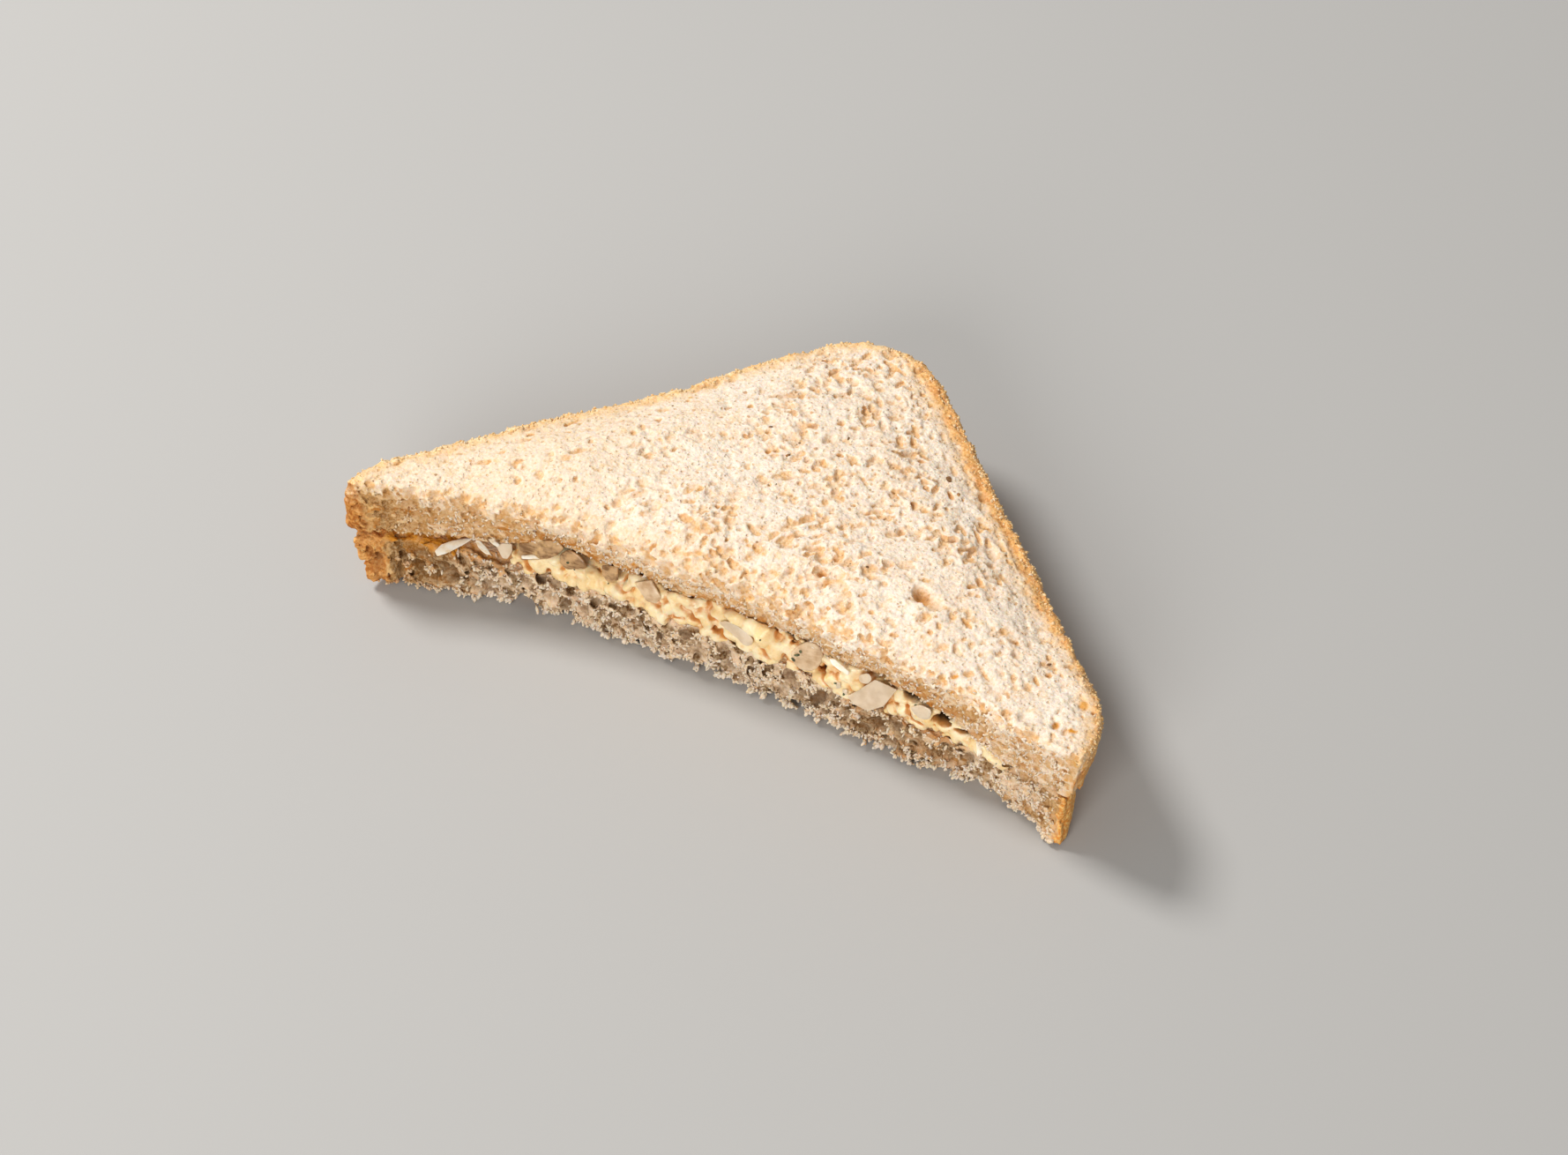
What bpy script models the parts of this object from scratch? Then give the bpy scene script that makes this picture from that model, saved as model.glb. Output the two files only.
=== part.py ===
"""Half of an egg salad sandwich: two slices of tin-loaf bread, cut corner to corner, with egg salad between them.

Metres, +Z up. The sandwich lies flat on Z = 0, the cut runs along X and faces -Y, and the loaf corner that stays whole points to +Y.
The origin is under the middle of the bounding box.
"""

import math

import bmesh
import bpy
from mathutils import Vector

MM = 0.001

# ---- the loaf's slice, seen from above (mm) ----
SIDE_LEFT = 117.0  # crust side from the left tip to the whole corner
SIDE_RIGHT = 119.0  # crust side from the whole corner to the right tip
CORNER = (-1.9, 86.3)  # where those two sides would meet if the corner were sharp
ANGLE_LEFT = 47.5  # degrees that the left side rises from the cut
R_CORNER, R_LEFT = 17.5, 12.5  # radii of the loaf's whole corner and of its left one, which the cut runs through
SIDE_SINK = 1.7  # how far the left side has sunk in near the whole corner, as tin loaves do
SINK_AT, SINK_SPREAD = 0.66, 0.17  # where along that side, and over how much of it

# ---- the cut: drawn in along its middle by the knife (mm) ----
CUT_DEPTH = 8.6  # how far the middle lies behind the tips
CUT_DEEPEST_X = -12.0
CUT_LEFT_X, CUT_LEFT_Y, CUT_LEFT_POWER = -75.0, 0.0, 3.2
CUT_RIGHT_X, CUT_RIGHT_Y, CUT_RIGHT_POWER = 75.0, -1.5, 1.7

# ---- layers (mm) ----
SLICE = 11.6  # thickness of each slice
PRESS_BOTTOM, PRESS_TOP = 1.9, 2.6  # how much thinner the knife left each slice in the middle of the cut
PRESS_REACH = 9.0  # how far behind the cut that goes
FILL_CUT, FILL_BODY = 6.8, 3.7  # thickness of the egg salad at the cut and in the middle
FILL_RIM = 0.9  # and at its own rim
FILL_BACK = 5.0  # how far it stays from the crust
GAP = 0.3  # clear space between neighbours
PINCH = 0.35  # left between the slices at the crust, beyond those gaps
TIP_LIFT, TIP_LIFT_FROM = 0.8, -52.0  # the left tip of the lower slice curls up

ROUND_CRUST, ROUND_CUT, ROUND_PRESSED = 0.9, 0.8, 3.0  # radii of the slices' edges
BULGE = 0.5  # how far a crust side stands out half way up
FILL_BULGE = 1.9  # how far the egg salad is squeezed out past its rim at the cut

# ---- mesh: cross-sections from the left tip to the right one ----
SECTIONS = 58
FIRST, LAST = 7, 51  # the sections between which the egg salad lies
TIP_FACE = 0.011  # share of the crust's length that is left flat at each tip
ROWS = (0.0, 0.07, 0.16, 0.30, 0.52, 0.77, 1.0)  # rows across the egg salad, from its rim at the cut to its rim at the crust


def smooth(a, b, x):
    t = min(1.0, max(0.0, (x - a) / (b - a)))
    return t * t * (3 - 2 * t)


def unit(degrees):
    return Vector((math.cos(math.radians(degrees)), math.sin(math.radians(degrees))))


# ---- outlines ----
def cut_line(x):
    """The middle line of the cut: y at x."""
    if x < CUT_DEEPEST_X:
        u = (CUT_DEEPEST_X - x) / (CUT_DEEPEST_X - CUT_LEFT_X)
        y = CUT_DEPTH - (CUT_DEPTH - CUT_LEFT_Y) * u**CUT_LEFT_POWER
    else:
        u = (x - CUT_DEEPEST_X) / (CUT_RIGHT_X - CUT_DEEPEST_X)
        y = CUT_DEPTH - (CUT_DEPTH - CUT_RIGHT_Y) * u**CUT_RIGHT_POWER
    return y + 0.35 * math.sin(x * 0.16 + 0.6) + 0.22 * math.sin(x * 0.37 + 2.1)


def corner_arc(sharp, along, across, radius, cut):
    """A rounded loaf corner, as points from the crust side down to the cut. The sides leave it along and across."""
    middle = sharp + (along + across) * radius
    first, second = -across, -along
    a0, a1 = math.atan2(first.y, first.x), math.atan2(second.y, second.x)
    if a1 - a0 > math.pi:
        a1 -= 2 * math.pi
    if a1 - a0 < -math.pi:
        a1 += 2 * math.pi
    points = []
    for k in range(61):
        a = a0 + (a1 - a0) * k / 60
        p = middle + Vector((math.cos(a), math.sin(a))) * radius
        if p.y < cut(p.x):
            break
        points.append(p)
    return points


def crust_path(cut, angle_right, r_right):
    """The crust side of the half slice, from the left tip round the whole corner to the right tip."""
    up, down = unit(ANGLE_LEFT), unit(-angle_right)
    in_left, in_right = Vector((up.y, -up.x)), Vector((down.y, -down.x))
    corner = Vector(CORNER)
    left, right = corner - up * SIDE_LEFT, corner + down * SIDE_RIGHT
    points = list(reversed(corner_arc(left, up, in_left, R_LEFT, cut)))
    # the corner isn't quite square, so its arc takes up a little more or less of each side than its radius
    taken = R_CORNER / math.tan(math.radians(180 - ANGLE_LEFT - angle_right) / 2)
    begin, end = left + up * R_LEFT, corner - up * taken
    for k in range(1, 60):
        s = k / 60
        sink = SIDE_SINK * math.exp(-(((s - SINK_AT) / SINK_SPREAD) ** 2))
        points.append(begin.lerp(end, s) + in_left * sink)
    middle = end + in_left * R_CORNER
    a0, a1 = math.radians(ANGLE_LEFT + 90), math.radians(90 - angle_right)
    for k in range(61):
        a = a0 + (a1 - a0) * k / 60
        points.append(middle + Vector((math.cos(a), math.sin(a))) * R_CORNER)
    begin, end = corner + down * taken, right - down * r_right
    for k in range(1, 60):
        points.append(begin.lerp(end, k / 60))
    points += corner_arc(right, -down, in_right, r_right, cut)
    return points


def at_shares(points, shares):
    """Points at the given shares of a polyline's length."""
    along = [0.0]
    for a, b in zip(points, points[1:]):
        along.append(along[-1] + (b - a).length)
    found, i = [], 0
    for share in shares:
        want = along[-1] * share
        while i < len(points) - 2 and along[i + 1] < want:
            i += 1
        span = along[i + 1] - along[i]
        found.append(points[i].lerp(points[i + 1], (want - along[i]) / span if span else 0.0))
    return found


def outline(shift, left, right, angle_right, r_right):
    """Both ends of every cross-section: its point on the cut and its point on the crust.
    shift moves the cut towards +Y as a function of x; left and right are how far the tips are drawn in along X."""

    def cut(x):
        return cut_line(x) + shift(x)

    crust = crust_path(cut, angle_right, r_right)
    a, b = crust[0], crust[-1]
    line = []
    for k in range(161):
        x = a.x + (b.x - a.x) * k / 160
        near = smooth(0, 4, min(x - a.x, b.x - x))
        end_y = b.y if x > 0 else a.y
        line.append(Vector((x, end_y + (cut(x) - end_y) * near)))
    steps = [k / (SECTIONS - 1) for k in range(SECTIONS)]

    def drawn_in(p):
        return Vector((p.x + left * smooth(-20, -76, p.x) - right * smooth(20, 76, p.x), p.y))

    ends = at_shares(line, steps), at_shares(crust, [TIP_FACE + (1 - 2 * TIP_FACE) * t for t in steps])
    return [(drawn_in(c), drawn_in(k)) for c, k in zip(*ends)]


# the cut faces lean, and the two slices don't line up exactly
def middle_of_cut(x):
    """1 in the middle of the cut, 0 at its tips."""
    return smooth(-66, -34, x) * (1 - smooth(32, 66, x))


LOWER_LOW = outline(lambda x: -0.1 + 2.7 * smooth(36, 54, x) * (1 - smooth(60, 75, x)), 4.2, 4.2, 46.6, 13.0)
LOWER_HIGH = outline(lambda x: -0.8 - 0.6 * smooth(-70, -58, x) * (1 - smooth(-50, -40, x)) + 2.2 * smooth(42, 70, x), 1.6, 4.2, 46.2, 14.0)
UPPER_LOW = outline(lambda x: 1.0 * middle_of_cut(x) - 0.8 * (1 - smooth(-74, -60, x)), 1.4, 2.4, 45.8, 16.0)
UPPER_HIGH = outline(lambda x: -0.2 - 0.7 * smooth(48, 62, x), 0.8, 0.0, 45.3, 18.5)
FACE = outline(lambda x: 0.4 + 0.9 * middle_of_cut(x) + 1.6 * smooth(42, 70, x), 3.0, 5.2, 46.6, 14.0)  # inside both slices


# ---- heights ----
def pressed(x, y):
    """1 where the knife pressed hardest, at the middle of the cut, down to 0 behind it and at the tips."""
    behind = max(0.0, y - cut_line(x))
    return math.exp(-((behind / PRESS_REACH) ** 2)) * middle_of_cut(x)


def lower_bottom(x):
    return TIP_LIFT * (1 - smooth(-76, TIP_LIFT_FROM, x))


def lower_top(x, y):
    return SLICE - PRESS_BOTTOM * pressed(x, y) + 0.5 * lower_bottom(x)


def filling(x, y, full):
    """Thickness of the egg salad. full is 0 at its rim along the crust and 1 well inside it or along the cut."""
    behind = max(0.0, y - cut_line(x))
    body = FILL_BODY + (FILL_CUT - FILL_BODY) * math.exp(-((behind / 14.0) ** 2))
    uneven = 0.35 * math.sin(x * 0.21 + 1.0) * math.cos(y * 0.17) + 0.2 * math.sin(x * 0.43 + y * 0.3)
    along = smooth(-66, -32, x) * (1 - smooth(30, 66, x))
    return FILL_RIM + (body + uneven - FILL_RIM) * full * along


def fullness(row):
    return 1 - smooth(0.62, 1.0, ROWS[row])


def grid(j, row):
    """A point of section j shared by the egg salad and the two faces that it touches."""
    c, k = FACE[j]
    length = (k - c).length
    rim_cut, rim_crust = min(1.4, 0.12 * length), min(FILL_BACK + 0.8 * math.sin(j * 1.9), 0.3 * length)
    return c.lerp(k, (rim_cut + (length - rim_cut - rim_crust) * ROWS[row]) / length)


def grid_filling(j, row):
    p = grid(j, row)
    return filling(p.x, p.y, fullness(row))


# ---- building ----
def loft(name, sections, colour, roughness):
    """A closed solid through cross-sections. Each is a list of (x, y, z, across), in mm, in the same order round the loop;
    across grows from the cut to the crust, and picks each quad's diagonal so that facing surfaces match."""
    bm = bmesh.new()
    rings = [[bm.verts.new(Vector(p[:3]) * MM) for p in section] for section in sections]
    count = len(rings[0])
    for j in range(len(rings) - 1):
        for i in range(count):
            n = (i + 1) % count
            a, b, c, d = rings[j][i], rings[j][n], rings[j + 1][n], rings[j + 1][i]
            if sections[j][n][3] > sections[j][i][3]:
                bm.faces.new((a, d, c))
                bm.faces.new((a, c, b))
            else:
                bm.faces.new((a, d, b))
                bm.faces.new((d, c, b))
    for ring, turn in ((rings[0], 1), (rings[-1], -1)):
        middle = sum((v.co for v in ring), Vector()) / count
        pole = bm.verts.new(middle)
        for i in range(count):
            n = (i + 1) % count
            bm.faces.new((pole, ring[i], ring[n])[::turn])
    bm.normal_update()
    if bm.calc_volume(signed=True) < 0:
        bmesh.ops.reverse_faces(bm, faces=bm.faces)
    mesh = bpy.data.meshes.new(name)
    bm.to_mesh(mesh)
    bm.free()
    mesh.shade_smooth()
    mesh.set_sharp_from_angle(angle=math.radians(50))
    obj = bpy.data.objects.new(name, mesh)
    material = bpy.data.materials.new(name)
    material.use_nodes = True
    shader = material.node_tree.nodes["Principled BSDF"]
    shader.inputs["Base Color"].default_value = (*colour, 1.0)
    shader.inputs["Roughness"].default_value = roughness
    shader.inputs["Metallic"].default_value = 0.0
    mesh.materials.append(material)
    return obj


def slice_section(j, low, high, z_low, z_high, low_rows, high_rows, round_top_cut):
    """One cross-section of a slice: lower face from the cut to the crust, crust edge, upper face back to the cut, cut edge."""
    (cl, kl), (ch, kh) = low[j], high[j]
    out_low, out_high = (kl - cl).normalized(), (kh - ch).normalized()
    short = min((kl - cl).length, (kh - ch).length) * 0.2
    r_low_cut, r_crust = min(ROUND_CUT, short), min(ROUND_CRUST, short)
    r_high_cut = min(round_top_cut(ch.x), short)
    lean = math.sqrt(0.5)

    def at(p, z, across):
        return (p.x, p.y, z, across)

    def low_edge(point, inward, r, across):
        inner = point + inward * r
        z = z_low(inner)
        return [
            at(inner, z, across),
            at(point + inward * r * (1 - lean), z + r * (1 - lean), across),
            at(point, z + r, across),
        ]

    def high_edge(point, inward, r, across):
        inner = point + inward * r
        z = z_high(inner)
        return [
            at(point, z - r, across),
            at(point + inward * r * (1 - lean), z - r * (1 - lean), across),
            at(inner, z, across),
        ]

    cut_low = low_edge(cl, out_low, r_low_cut, 0.0)
    crust_low = low_edge(kl, -out_low, r_crust, 1.0)
    crust_high = high_edge(kh, -out_high, r_crust, 1.0)
    cut_high = high_edge(ch, out_high, r_high_cut, 0.0)
    loop = cut_low[:1]
    loop += [at(p, z, t) for p, z, t in low_rows(j)]
    loop += crust_low
    middle = kl.lerp(kh, 0.5) + (out_low + out_high).normalized() * BULGE
    loop.append(at(middle, (crust_low[2][2] + crust_high[0][2]) / 2, 1.0))
    loop += crust_high
    loop += [at(p, z, t) for p, z, t in reversed(high_rows(j))]
    loop += reversed(cut_high)
    loop.append(at(cl.lerp(ch, 0.5), (cut_low[2][2] + cut_high[0][2]) / 2, 0.0))
    loop += [cut_low[2], cut_low[1]]
    return loop


def build():
    for obj in list(bpy.data.objects):
        bpy.data.objects.remove(obj)

    rows = range(len(ROWS))

    def rest_on(j, row):
        p = grid(j, row)
        return lower_top(p.x, p.y)

    # lower slice: flat below, dented by the knife above
    def lower_floor(j):
        c, k = LOWER_LOW[j]
        return [(p, lower_bottom(p.x), t) for t in (0.3, 0.65) for p in (c.lerp(k, t),)]

    def lower_seat(j):
        return [(grid(j, r), rest_on(j, r), 0.1 + 0.8 * ROWS[r]) for r in rows]

    lower = [
        slice_section(
            j, LOWER_LOW, LOWER_HIGH, lambda p: lower_bottom(p.x), lambda p: lower_top(p.x, p.y),
            lower_floor, lower_seat, lambda x: ROUND_CUT,
        )
        for j in range(SECTIONS)
    ]

    # egg salad: its two faces follow the slices point for point, and at the cut it is squeezed out between them
    def squeezed(j, share, push):
        p, away = grid(j, 0), (FACE[j][0] - FACE[j][1]).normalized()
        lump = 0.35 * math.sin(j * 1.7) + 0.25 * math.sin(j * 3.1 + 1.0)
        ends = smooth(FIRST, FIRST + 9, j) * (1 - smooth(LAST - 9, LAST, j))
        q = p + away * (0.3 + (FILL_BULGE - 0.3 + lump) * ends) * push
        return (q.x, q.y, rest_on(j, 0) + GAP + grid_filling(j, 0) * share, 0.0)

    fill = []
    for j in range(FIRST, LAST + 1):
        under = [(*grid(j, r), rest_on(j, r) + GAP, 0.1 + 0.8 * ROWS[r]) for r in rows]
        over = [(*grid(j, r), rest_on(j, r) + GAP + grid_filling(j, r), 0.1 + 0.8 * ROWS[r]) for r in rows]
        q = grid(j, len(ROWS) - 1) + (FACE[j][1] - FACE[j][0]).normalized() * 0.5
        side = (q.x, q.y, (under[-1][2] + over[-1][2]) / 2, 1.0)
        fill.append(under + [side] + over[::-1] + [squeezed(j, 0.8, 0.8), squeezed(j, 0.5, 1.0), squeezed(j, 0.2, 0.8)])

    # upper slice: draped over the egg salad, its underside close to the lower slice at the crust and the tips
    def held(p):
        """What lies between the slices at the edge of the cut."""
        return filling(p.x, p.y, 1.0) if p.y < cut_line(p.x) + 4 else PINCH

    def roof(j, row):
        full = grid_filling(j, row) if FIRST - 2 < j < LAST + 2 else max(FILL_RIM, grid_filling(j, row))
        return rest_on(j, row) + 2 * GAP + full

    def upper_roof(j):
        return [(grid(j, r), roof(j, r), 0.1 + 0.8 * ROWS[r]) for r in rows]

    def top_height(p):
        return lower_top(p.x, p.y) + 2 * GAP + filling(p.x, p.y, 1.0) + SLICE - PRESS_TOP * pressed(p.x, p.y)

    def crust_height(p):
        return lower_top(p.x, p.y) + 2 * GAP + PINCH + SLICE

    def upper_top(j):
        c, k = UPPER_HIGH[j]
        made = []
        for t in (0.06, 0.14, 0.27, 0.45, 0.64, 0.82, 0.93):
            p = c.lerp(k, t)
            down = smooth(0.55, 1.0, t)
            made.append((p, top_height(p) * (1 - down) + crust_height(p) * down, t))
        return made

    def near_cut(p, j):
        return (p - UPPER_HIGH[j][0]).length < (p - UPPER_HIGH[j][1]).length

    upper = []
    for j in range(SECTIONS):
        upper.append(
            slice_section(
                j, UPPER_LOW, UPPER_HIGH,
                lambda p: lower_top(p.x, p.y) + 2 * GAP + (held(p) if near_cut(p, j) else PINCH),
                lambda p: top_height(p) if near_cut(p, j) else crust_height(p),
                upper_roof, upper_top,
                lambda x: ROUND_CUT + (ROUND_PRESSED - ROUND_CUT) * middle_of_cut(x),
            )
        )

    parts = [
        loft("bread_bottom", lower, (0.66, 0.47, 0.28), 0.9),
        loft("egg_salad", fill, (0.90, 0.68, 0.33), 0.45),
        loft("bread_top", upper, (0.86, 0.70, 0.49), 0.9),
    ]

    # centre the whole on the origin, standing on Z = 0
    corners = [v.co for obj in parts for v in obj.data.vertices]
    low = Vector(tuple(min(c[i] for c in corners) for i in range(3)))
    high = Vector(tuple(max(c[i] for c in corners) for i in range(3)))
    root = bpy.data.objects.new("egg_salad_sandwich", None)
    root.location = (-(low.x + high.x) / 2, -(low.y + high.y) / 2, -low.z)
    collection = bpy.data.collections.new("egg_salad_sandwich")
    bpy.context.scene.collection.children.link(collection)
    collection.objects.link(root)
    for obj in parts:
        collection.objects.link(obj)
        obj.parent = root
    bpy.context.view_layer.update()


build()
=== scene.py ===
"""Half of an egg salad sandwich on light wholemeal bread, for Blender 4.5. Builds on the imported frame.

Lengths in this file are millimetres until a mesh is made.
"""

import math
import time

import bmesh
import bpy
import numpy as np
from mathutils import Matrix, Vector
from mathutils.bvhtree import BVHTree


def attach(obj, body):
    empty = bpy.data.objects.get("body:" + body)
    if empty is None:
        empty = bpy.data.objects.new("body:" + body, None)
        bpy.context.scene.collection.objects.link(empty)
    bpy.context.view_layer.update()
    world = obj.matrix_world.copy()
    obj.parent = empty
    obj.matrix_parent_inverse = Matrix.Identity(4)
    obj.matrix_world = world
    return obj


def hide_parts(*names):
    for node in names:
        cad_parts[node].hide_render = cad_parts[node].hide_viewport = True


STARTED = time.time()
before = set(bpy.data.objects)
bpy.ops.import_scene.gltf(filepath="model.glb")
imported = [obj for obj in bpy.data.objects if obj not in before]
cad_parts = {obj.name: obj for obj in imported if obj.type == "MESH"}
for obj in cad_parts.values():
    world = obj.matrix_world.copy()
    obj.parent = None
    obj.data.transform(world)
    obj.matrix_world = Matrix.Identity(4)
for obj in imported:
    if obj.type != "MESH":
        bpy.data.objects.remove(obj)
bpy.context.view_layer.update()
MM = 0.001


def say(*words):
    print("[%5.1f s]" % (time.time() - STARTED), *words, flush=True)


# ---------------------------------------------------------------------------------------------------------------
# outlines, as in the CAD: the cut line and the crust line of each slice seen from above
# ---------------------------------------------------------------------------------------------------------------
ORIGIN = np.array((0.43617, -38.38362))  # the CAD's drawing origin in the row frame
SIDE_LEFT, SIDE_RIGHT, CORNER = 117.0, 119.0, np.array((-1.9, 86.3))
ANGLE_LEFT, R_CORNER, R_LEFT = 47.5, 17.5, 12.5
SIDE_SINK, SINK_AT, SINK_SPREAD = 1.7, 0.66, 0.17
CUT_DEPTH, CUT_DEEPEST_X = 8.6, -12.0


def smooth(a, b, x):
    t = np.clip((np.asarray(x, float) - a) / (b - a), 0.0, 1.0)
    return t * t * (3 - 2 * t)


def cut_line_drawn(x):
    x = np.asarray(x, float)
    ul = np.clip((CUT_DEEPEST_X - x) / (CUT_DEEPEST_X + 75.0), 0, None)
    ur = np.clip((x - CUT_DEEPEST_X) / (75.0 - CUT_DEEPEST_X), 0, None)
    y = np.where(x < CUT_DEEPEST_X, CUT_DEPTH - CUT_DEPTH * ul**3.2, CUT_DEPTH - (CUT_DEPTH + 1.5) * ur**1.7)
    return y + 0.35 * np.sin(x * 0.16 + 0.6) + 0.22 * np.sin(x * 0.37 + 2.1)


def cut_line(x):
    """y of the middle of the cut, in the row frame."""
    return cut_line_drawn(np.asarray(x, float) - ORIGIN[0]) + ORIGIN[1]


def middle_of_cut(x):
    x = np.asarray(x, float) - ORIGIN[0]
    return smooth(-66, -34, x) * (1 - smooth(32, 66, x))


def unit(degrees):
    return np.array((math.cos(math.radians(degrees)), math.sin(math.radians(degrees))))


def crust_line(angle_right, r_right, left, right):
    """The crust side as a line of points, from the left tip round the whole corner to the right tip."""
    up, down = unit(ANGLE_LEFT), unit(-angle_right)
    in_left, in_right = np.array((up[1], -up[0])), np.array((down[1], -down[0]))
    start, finish = CORNER - up * SIDE_LEFT, CORNER + down * SIDE_RIGHT

    def arc(middle, radius, a0, a1, n):
        return [middle + unit(a) * radius for a in np.linspace(a0, a1, n)]

    points = arc(start + (up + in_left) * R_LEFT, R_LEFT, ANGLE_LEFT + 90 + 62, ANGLE_LEFT + 90, 16)
    taken = R_CORNER / math.tan(math.radians(180 - ANGLE_LEFT - angle_right) / 2)
    begin, end = start + up * R_LEFT, CORNER - up * taken
    for k in range(1, 40):
        s = k / 40
        points.append(begin * (1 - s) + end * s + in_left * SIDE_SINK * math.exp(-(((s - SINK_AT) / SINK_SPREAD) ** 2)))
    points += arc(end + in_left * R_CORNER, R_CORNER, ANGLE_LEFT + 90, 90 - angle_right, 24)
    begin, end = CORNER + down * taken, finish - down * r_right
    for k in range(1, 40):
        points.append(begin * (1 - k / 40) + end * k / 40)
    points += arc(finish + (-down + in_right) * r_right, r_right, 90 - angle_right, 90 - angle_right - 62, 16)
    p = np.array(points)
    p[:, 0] += left * smooth(-20, -76, p[:, 0]) - right * smooth(20, 76, p[:, 0])
    return p + ORIGIN


CRUST = {
    "bread_bottom": (crust_line(46.6, 13.0, 4.2, 4.2), crust_line(46.2, 14.0, 1.6, 4.2)),
    "bread_top": (crust_line(45.8, 16.0, 1.4, 2.4), crust_line(45.3, 18.5, 0.8, 0.0)),
}


def from_line(points, line):
    """Distance in plan from each point to a line of points, positive on the inside."""
    best = np.full(len(points), 1e9)
    side = np.ones(len(points))
    for a, b in zip(line, line[1:]):
        d = b - a
        t = np.clip(((points - a) @ d) / (d @ d), 0, 1)
        off = points - (a + t[:, None] * d)
        dist = np.hypot(off[:, 0], off[:, 1])
        near = dist < best
        best = np.where(near, dist, best)
        side = np.where(near, np.sign(off[:, 0] * d[1] - off[:, 1] * d[0]), side)
    return best * side


PLAN_LO, PLAN_STEP, PLAN_SIZE = np.array((-82.0, -48.0)), 0.5, (329, 193)


def plan_of(line):
    """from_line worked out once on a grid."""
    xs = PLAN_LO[0] + PLAN_STEP * np.arange(PLAN_SIZE[0])
    ys = PLAN_LO[1] + PLAN_STEP * np.arange(PLAN_SIZE[1])
    grid = np.stack(np.meshgrid(xs, ys, indexing="ij"), -1).reshape(-1, 2)
    return from_line(grid, line).reshape(PLAN_SIZE)


PLANS = {node: tuple(plan_of(line) for line in lines) for node, lines in CRUST.items()}


def in_plan(plan, p):
    q = np.clip((p[:, :2] - PLAN_LO) / PLAN_STEP, 0, np.array(PLAN_SIZE) - 1.001)
    i = q.astype(int)
    f = q - i
    a, b = i[:, 0], i[:, 1]
    low = plan[a, b] * (1 - f[:, 0]) + plan[a + 1, b] * f[:, 0]
    high = plan[a, b + 1] * (1 - f[:, 0]) + plan[a + 1, b + 1] * f[:, 0]
    return low * (1 - f[:, 1]) + high * f[:, 1]


# the camera's axes and place, in metres; a few things below are placed along its lines of sight
CAMERA_RIGHT = np.array((0.889531, 0.456595, -0.016002))
CAMERA_UP = np.array((-0.316132, 0.640414, 0.69995))
CAMERA_BACK = np.array((0.329842, -0.617568, 0.714012))
CAMERA_AT = np.array((0.263882, -0.501615, 0.577518))


def on_cut(u, v, behind=0.0):
    """The point at photo pixel u, v that lies that far behind the middle of the cut."""
    d = CAMERA_RIGHT * ((u - 889) / 1778 * 0.36) - CAMERA_UP * ((v - 655) / 1778 * 0.36) - CAMERA_BACK
    start = CAMERA_AT * 1000
    low, high = 400.0, 1200.0
    for _ in range(50):
        t = (low + high) / 2
        q = start + d * t
        if q[1] < float(cut_line(q[0])) + behind:
            low = t
        else:
            high = t
    return start + d * low


# ---------------------------------------------------------------------------------------------------------------
# noise and fields
# ---------------------------------------------------------------------------------------------------------------
def lattice(i, j, k, seed):
    h = (
        i.astype(np.uint32) * np.uint32(374761393)
        + j.astype(np.uint32) * np.uint32(668265263)
        + k.astype(np.uint32) * np.uint32(2246822519)
        + np.uint32(seed * 3266489 + 12345)
    )
    h = (h ^ (h >> np.uint32(13))) * np.uint32(1274126177)
    h = (h ^ (h >> np.uint32(15))) * np.uint32(2246822519)
    return ((h ^ (h >> np.uint32(16))) & np.uint32(0xFFFFFF)).astype(np.float32) / np.float32(0x7FFFFF) - np.float32(1.0)


TURN = np.array(Matrix.Rotation(0.7, 3, "X") @ Matrix.Rotation(0.5, 3, "Y") @ Matrix.Rotation(0.9, 3, "Z"), np.float32)


def noise(p, scale, seed):
    """Smooth noise in -1..1 at points p (n, 3); scale is a length or three of them."""
    q = (p / np.asarray(scale, np.float32)) @ TURN + np.float32(1000.0)
    base = np.floor(q)
    f = (q - base).astype(np.float32)
    f = f * f * (3 - 2 * f)
    i, j, k = (base[:, n].astype(np.int64) for n in range(3))
    total = np.zeros(len(p), np.float32)
    for di in (0, 1):
        for dj in (0, 1):
            for dk in (0, 1):
                w = (f[:, 0] if di else 1 - f[:, 0]) * (f[:, 1] if dj else 1 - f[:, 1]) * (f[:, 2] if dk else 1 - f[:, 2])
                total += w * lattice(i + di, j + dj, k + dk, seed)
    return total


class Field:
    """A grid of signed distances, negative inside."""

    def __init__(self, lo, step, data):
        self.lo, self.step, self.data = np.asarray(lo, float), float(step), data

    def axes(self):
        return [self.lo[a] + self.step * np.arange(self.data.shape[a]) for a in range(3)]

    def finer(self, ratio):
        data = self.data
        for axis in range(3):
            n = data.shape[axis]
            t = np.arange((n - 1) * ratio + 1) / ratio
            i = np.minimum(t.astype(int), n - 2)
            shape = [1, 1, 1]
            shape[axis] = -1
            f = (t - i).astype(np.float32).reshape(shape)
            data = np.take(data, i, axis) * (1 - f) + np.take(data, i + 1, axis) * f
        return Field(self.lo, self.step / ratio, data)

    def at(self, p):
        q = (p - self.lo) / self.step
        top = np.array(self.data.shape) - 1.001
        q = np.clip(q, 0, top)
        i = q.astype(int)
        f = q - i
        total = np.zeros(len(p))
        for a in (0, 1):
            for b in (0, 1):
                for c in (0, 1):
                    w = (f[:, 0] if a else 1 - f[:, 0]) * (f[:, 1] if b else 1 - f[:, 1]) * (f[:, 2] if c else 1 - f[:, 2])
                    total += w * self.data[i[:, 0] + a, i[:, 1] + b, i[:, 2] + c]
        return total

    def points(self, mask):
        where = np.argwhere(mask)
        return where, (self.lo + where * self.step).astype(np.float32)


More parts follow.
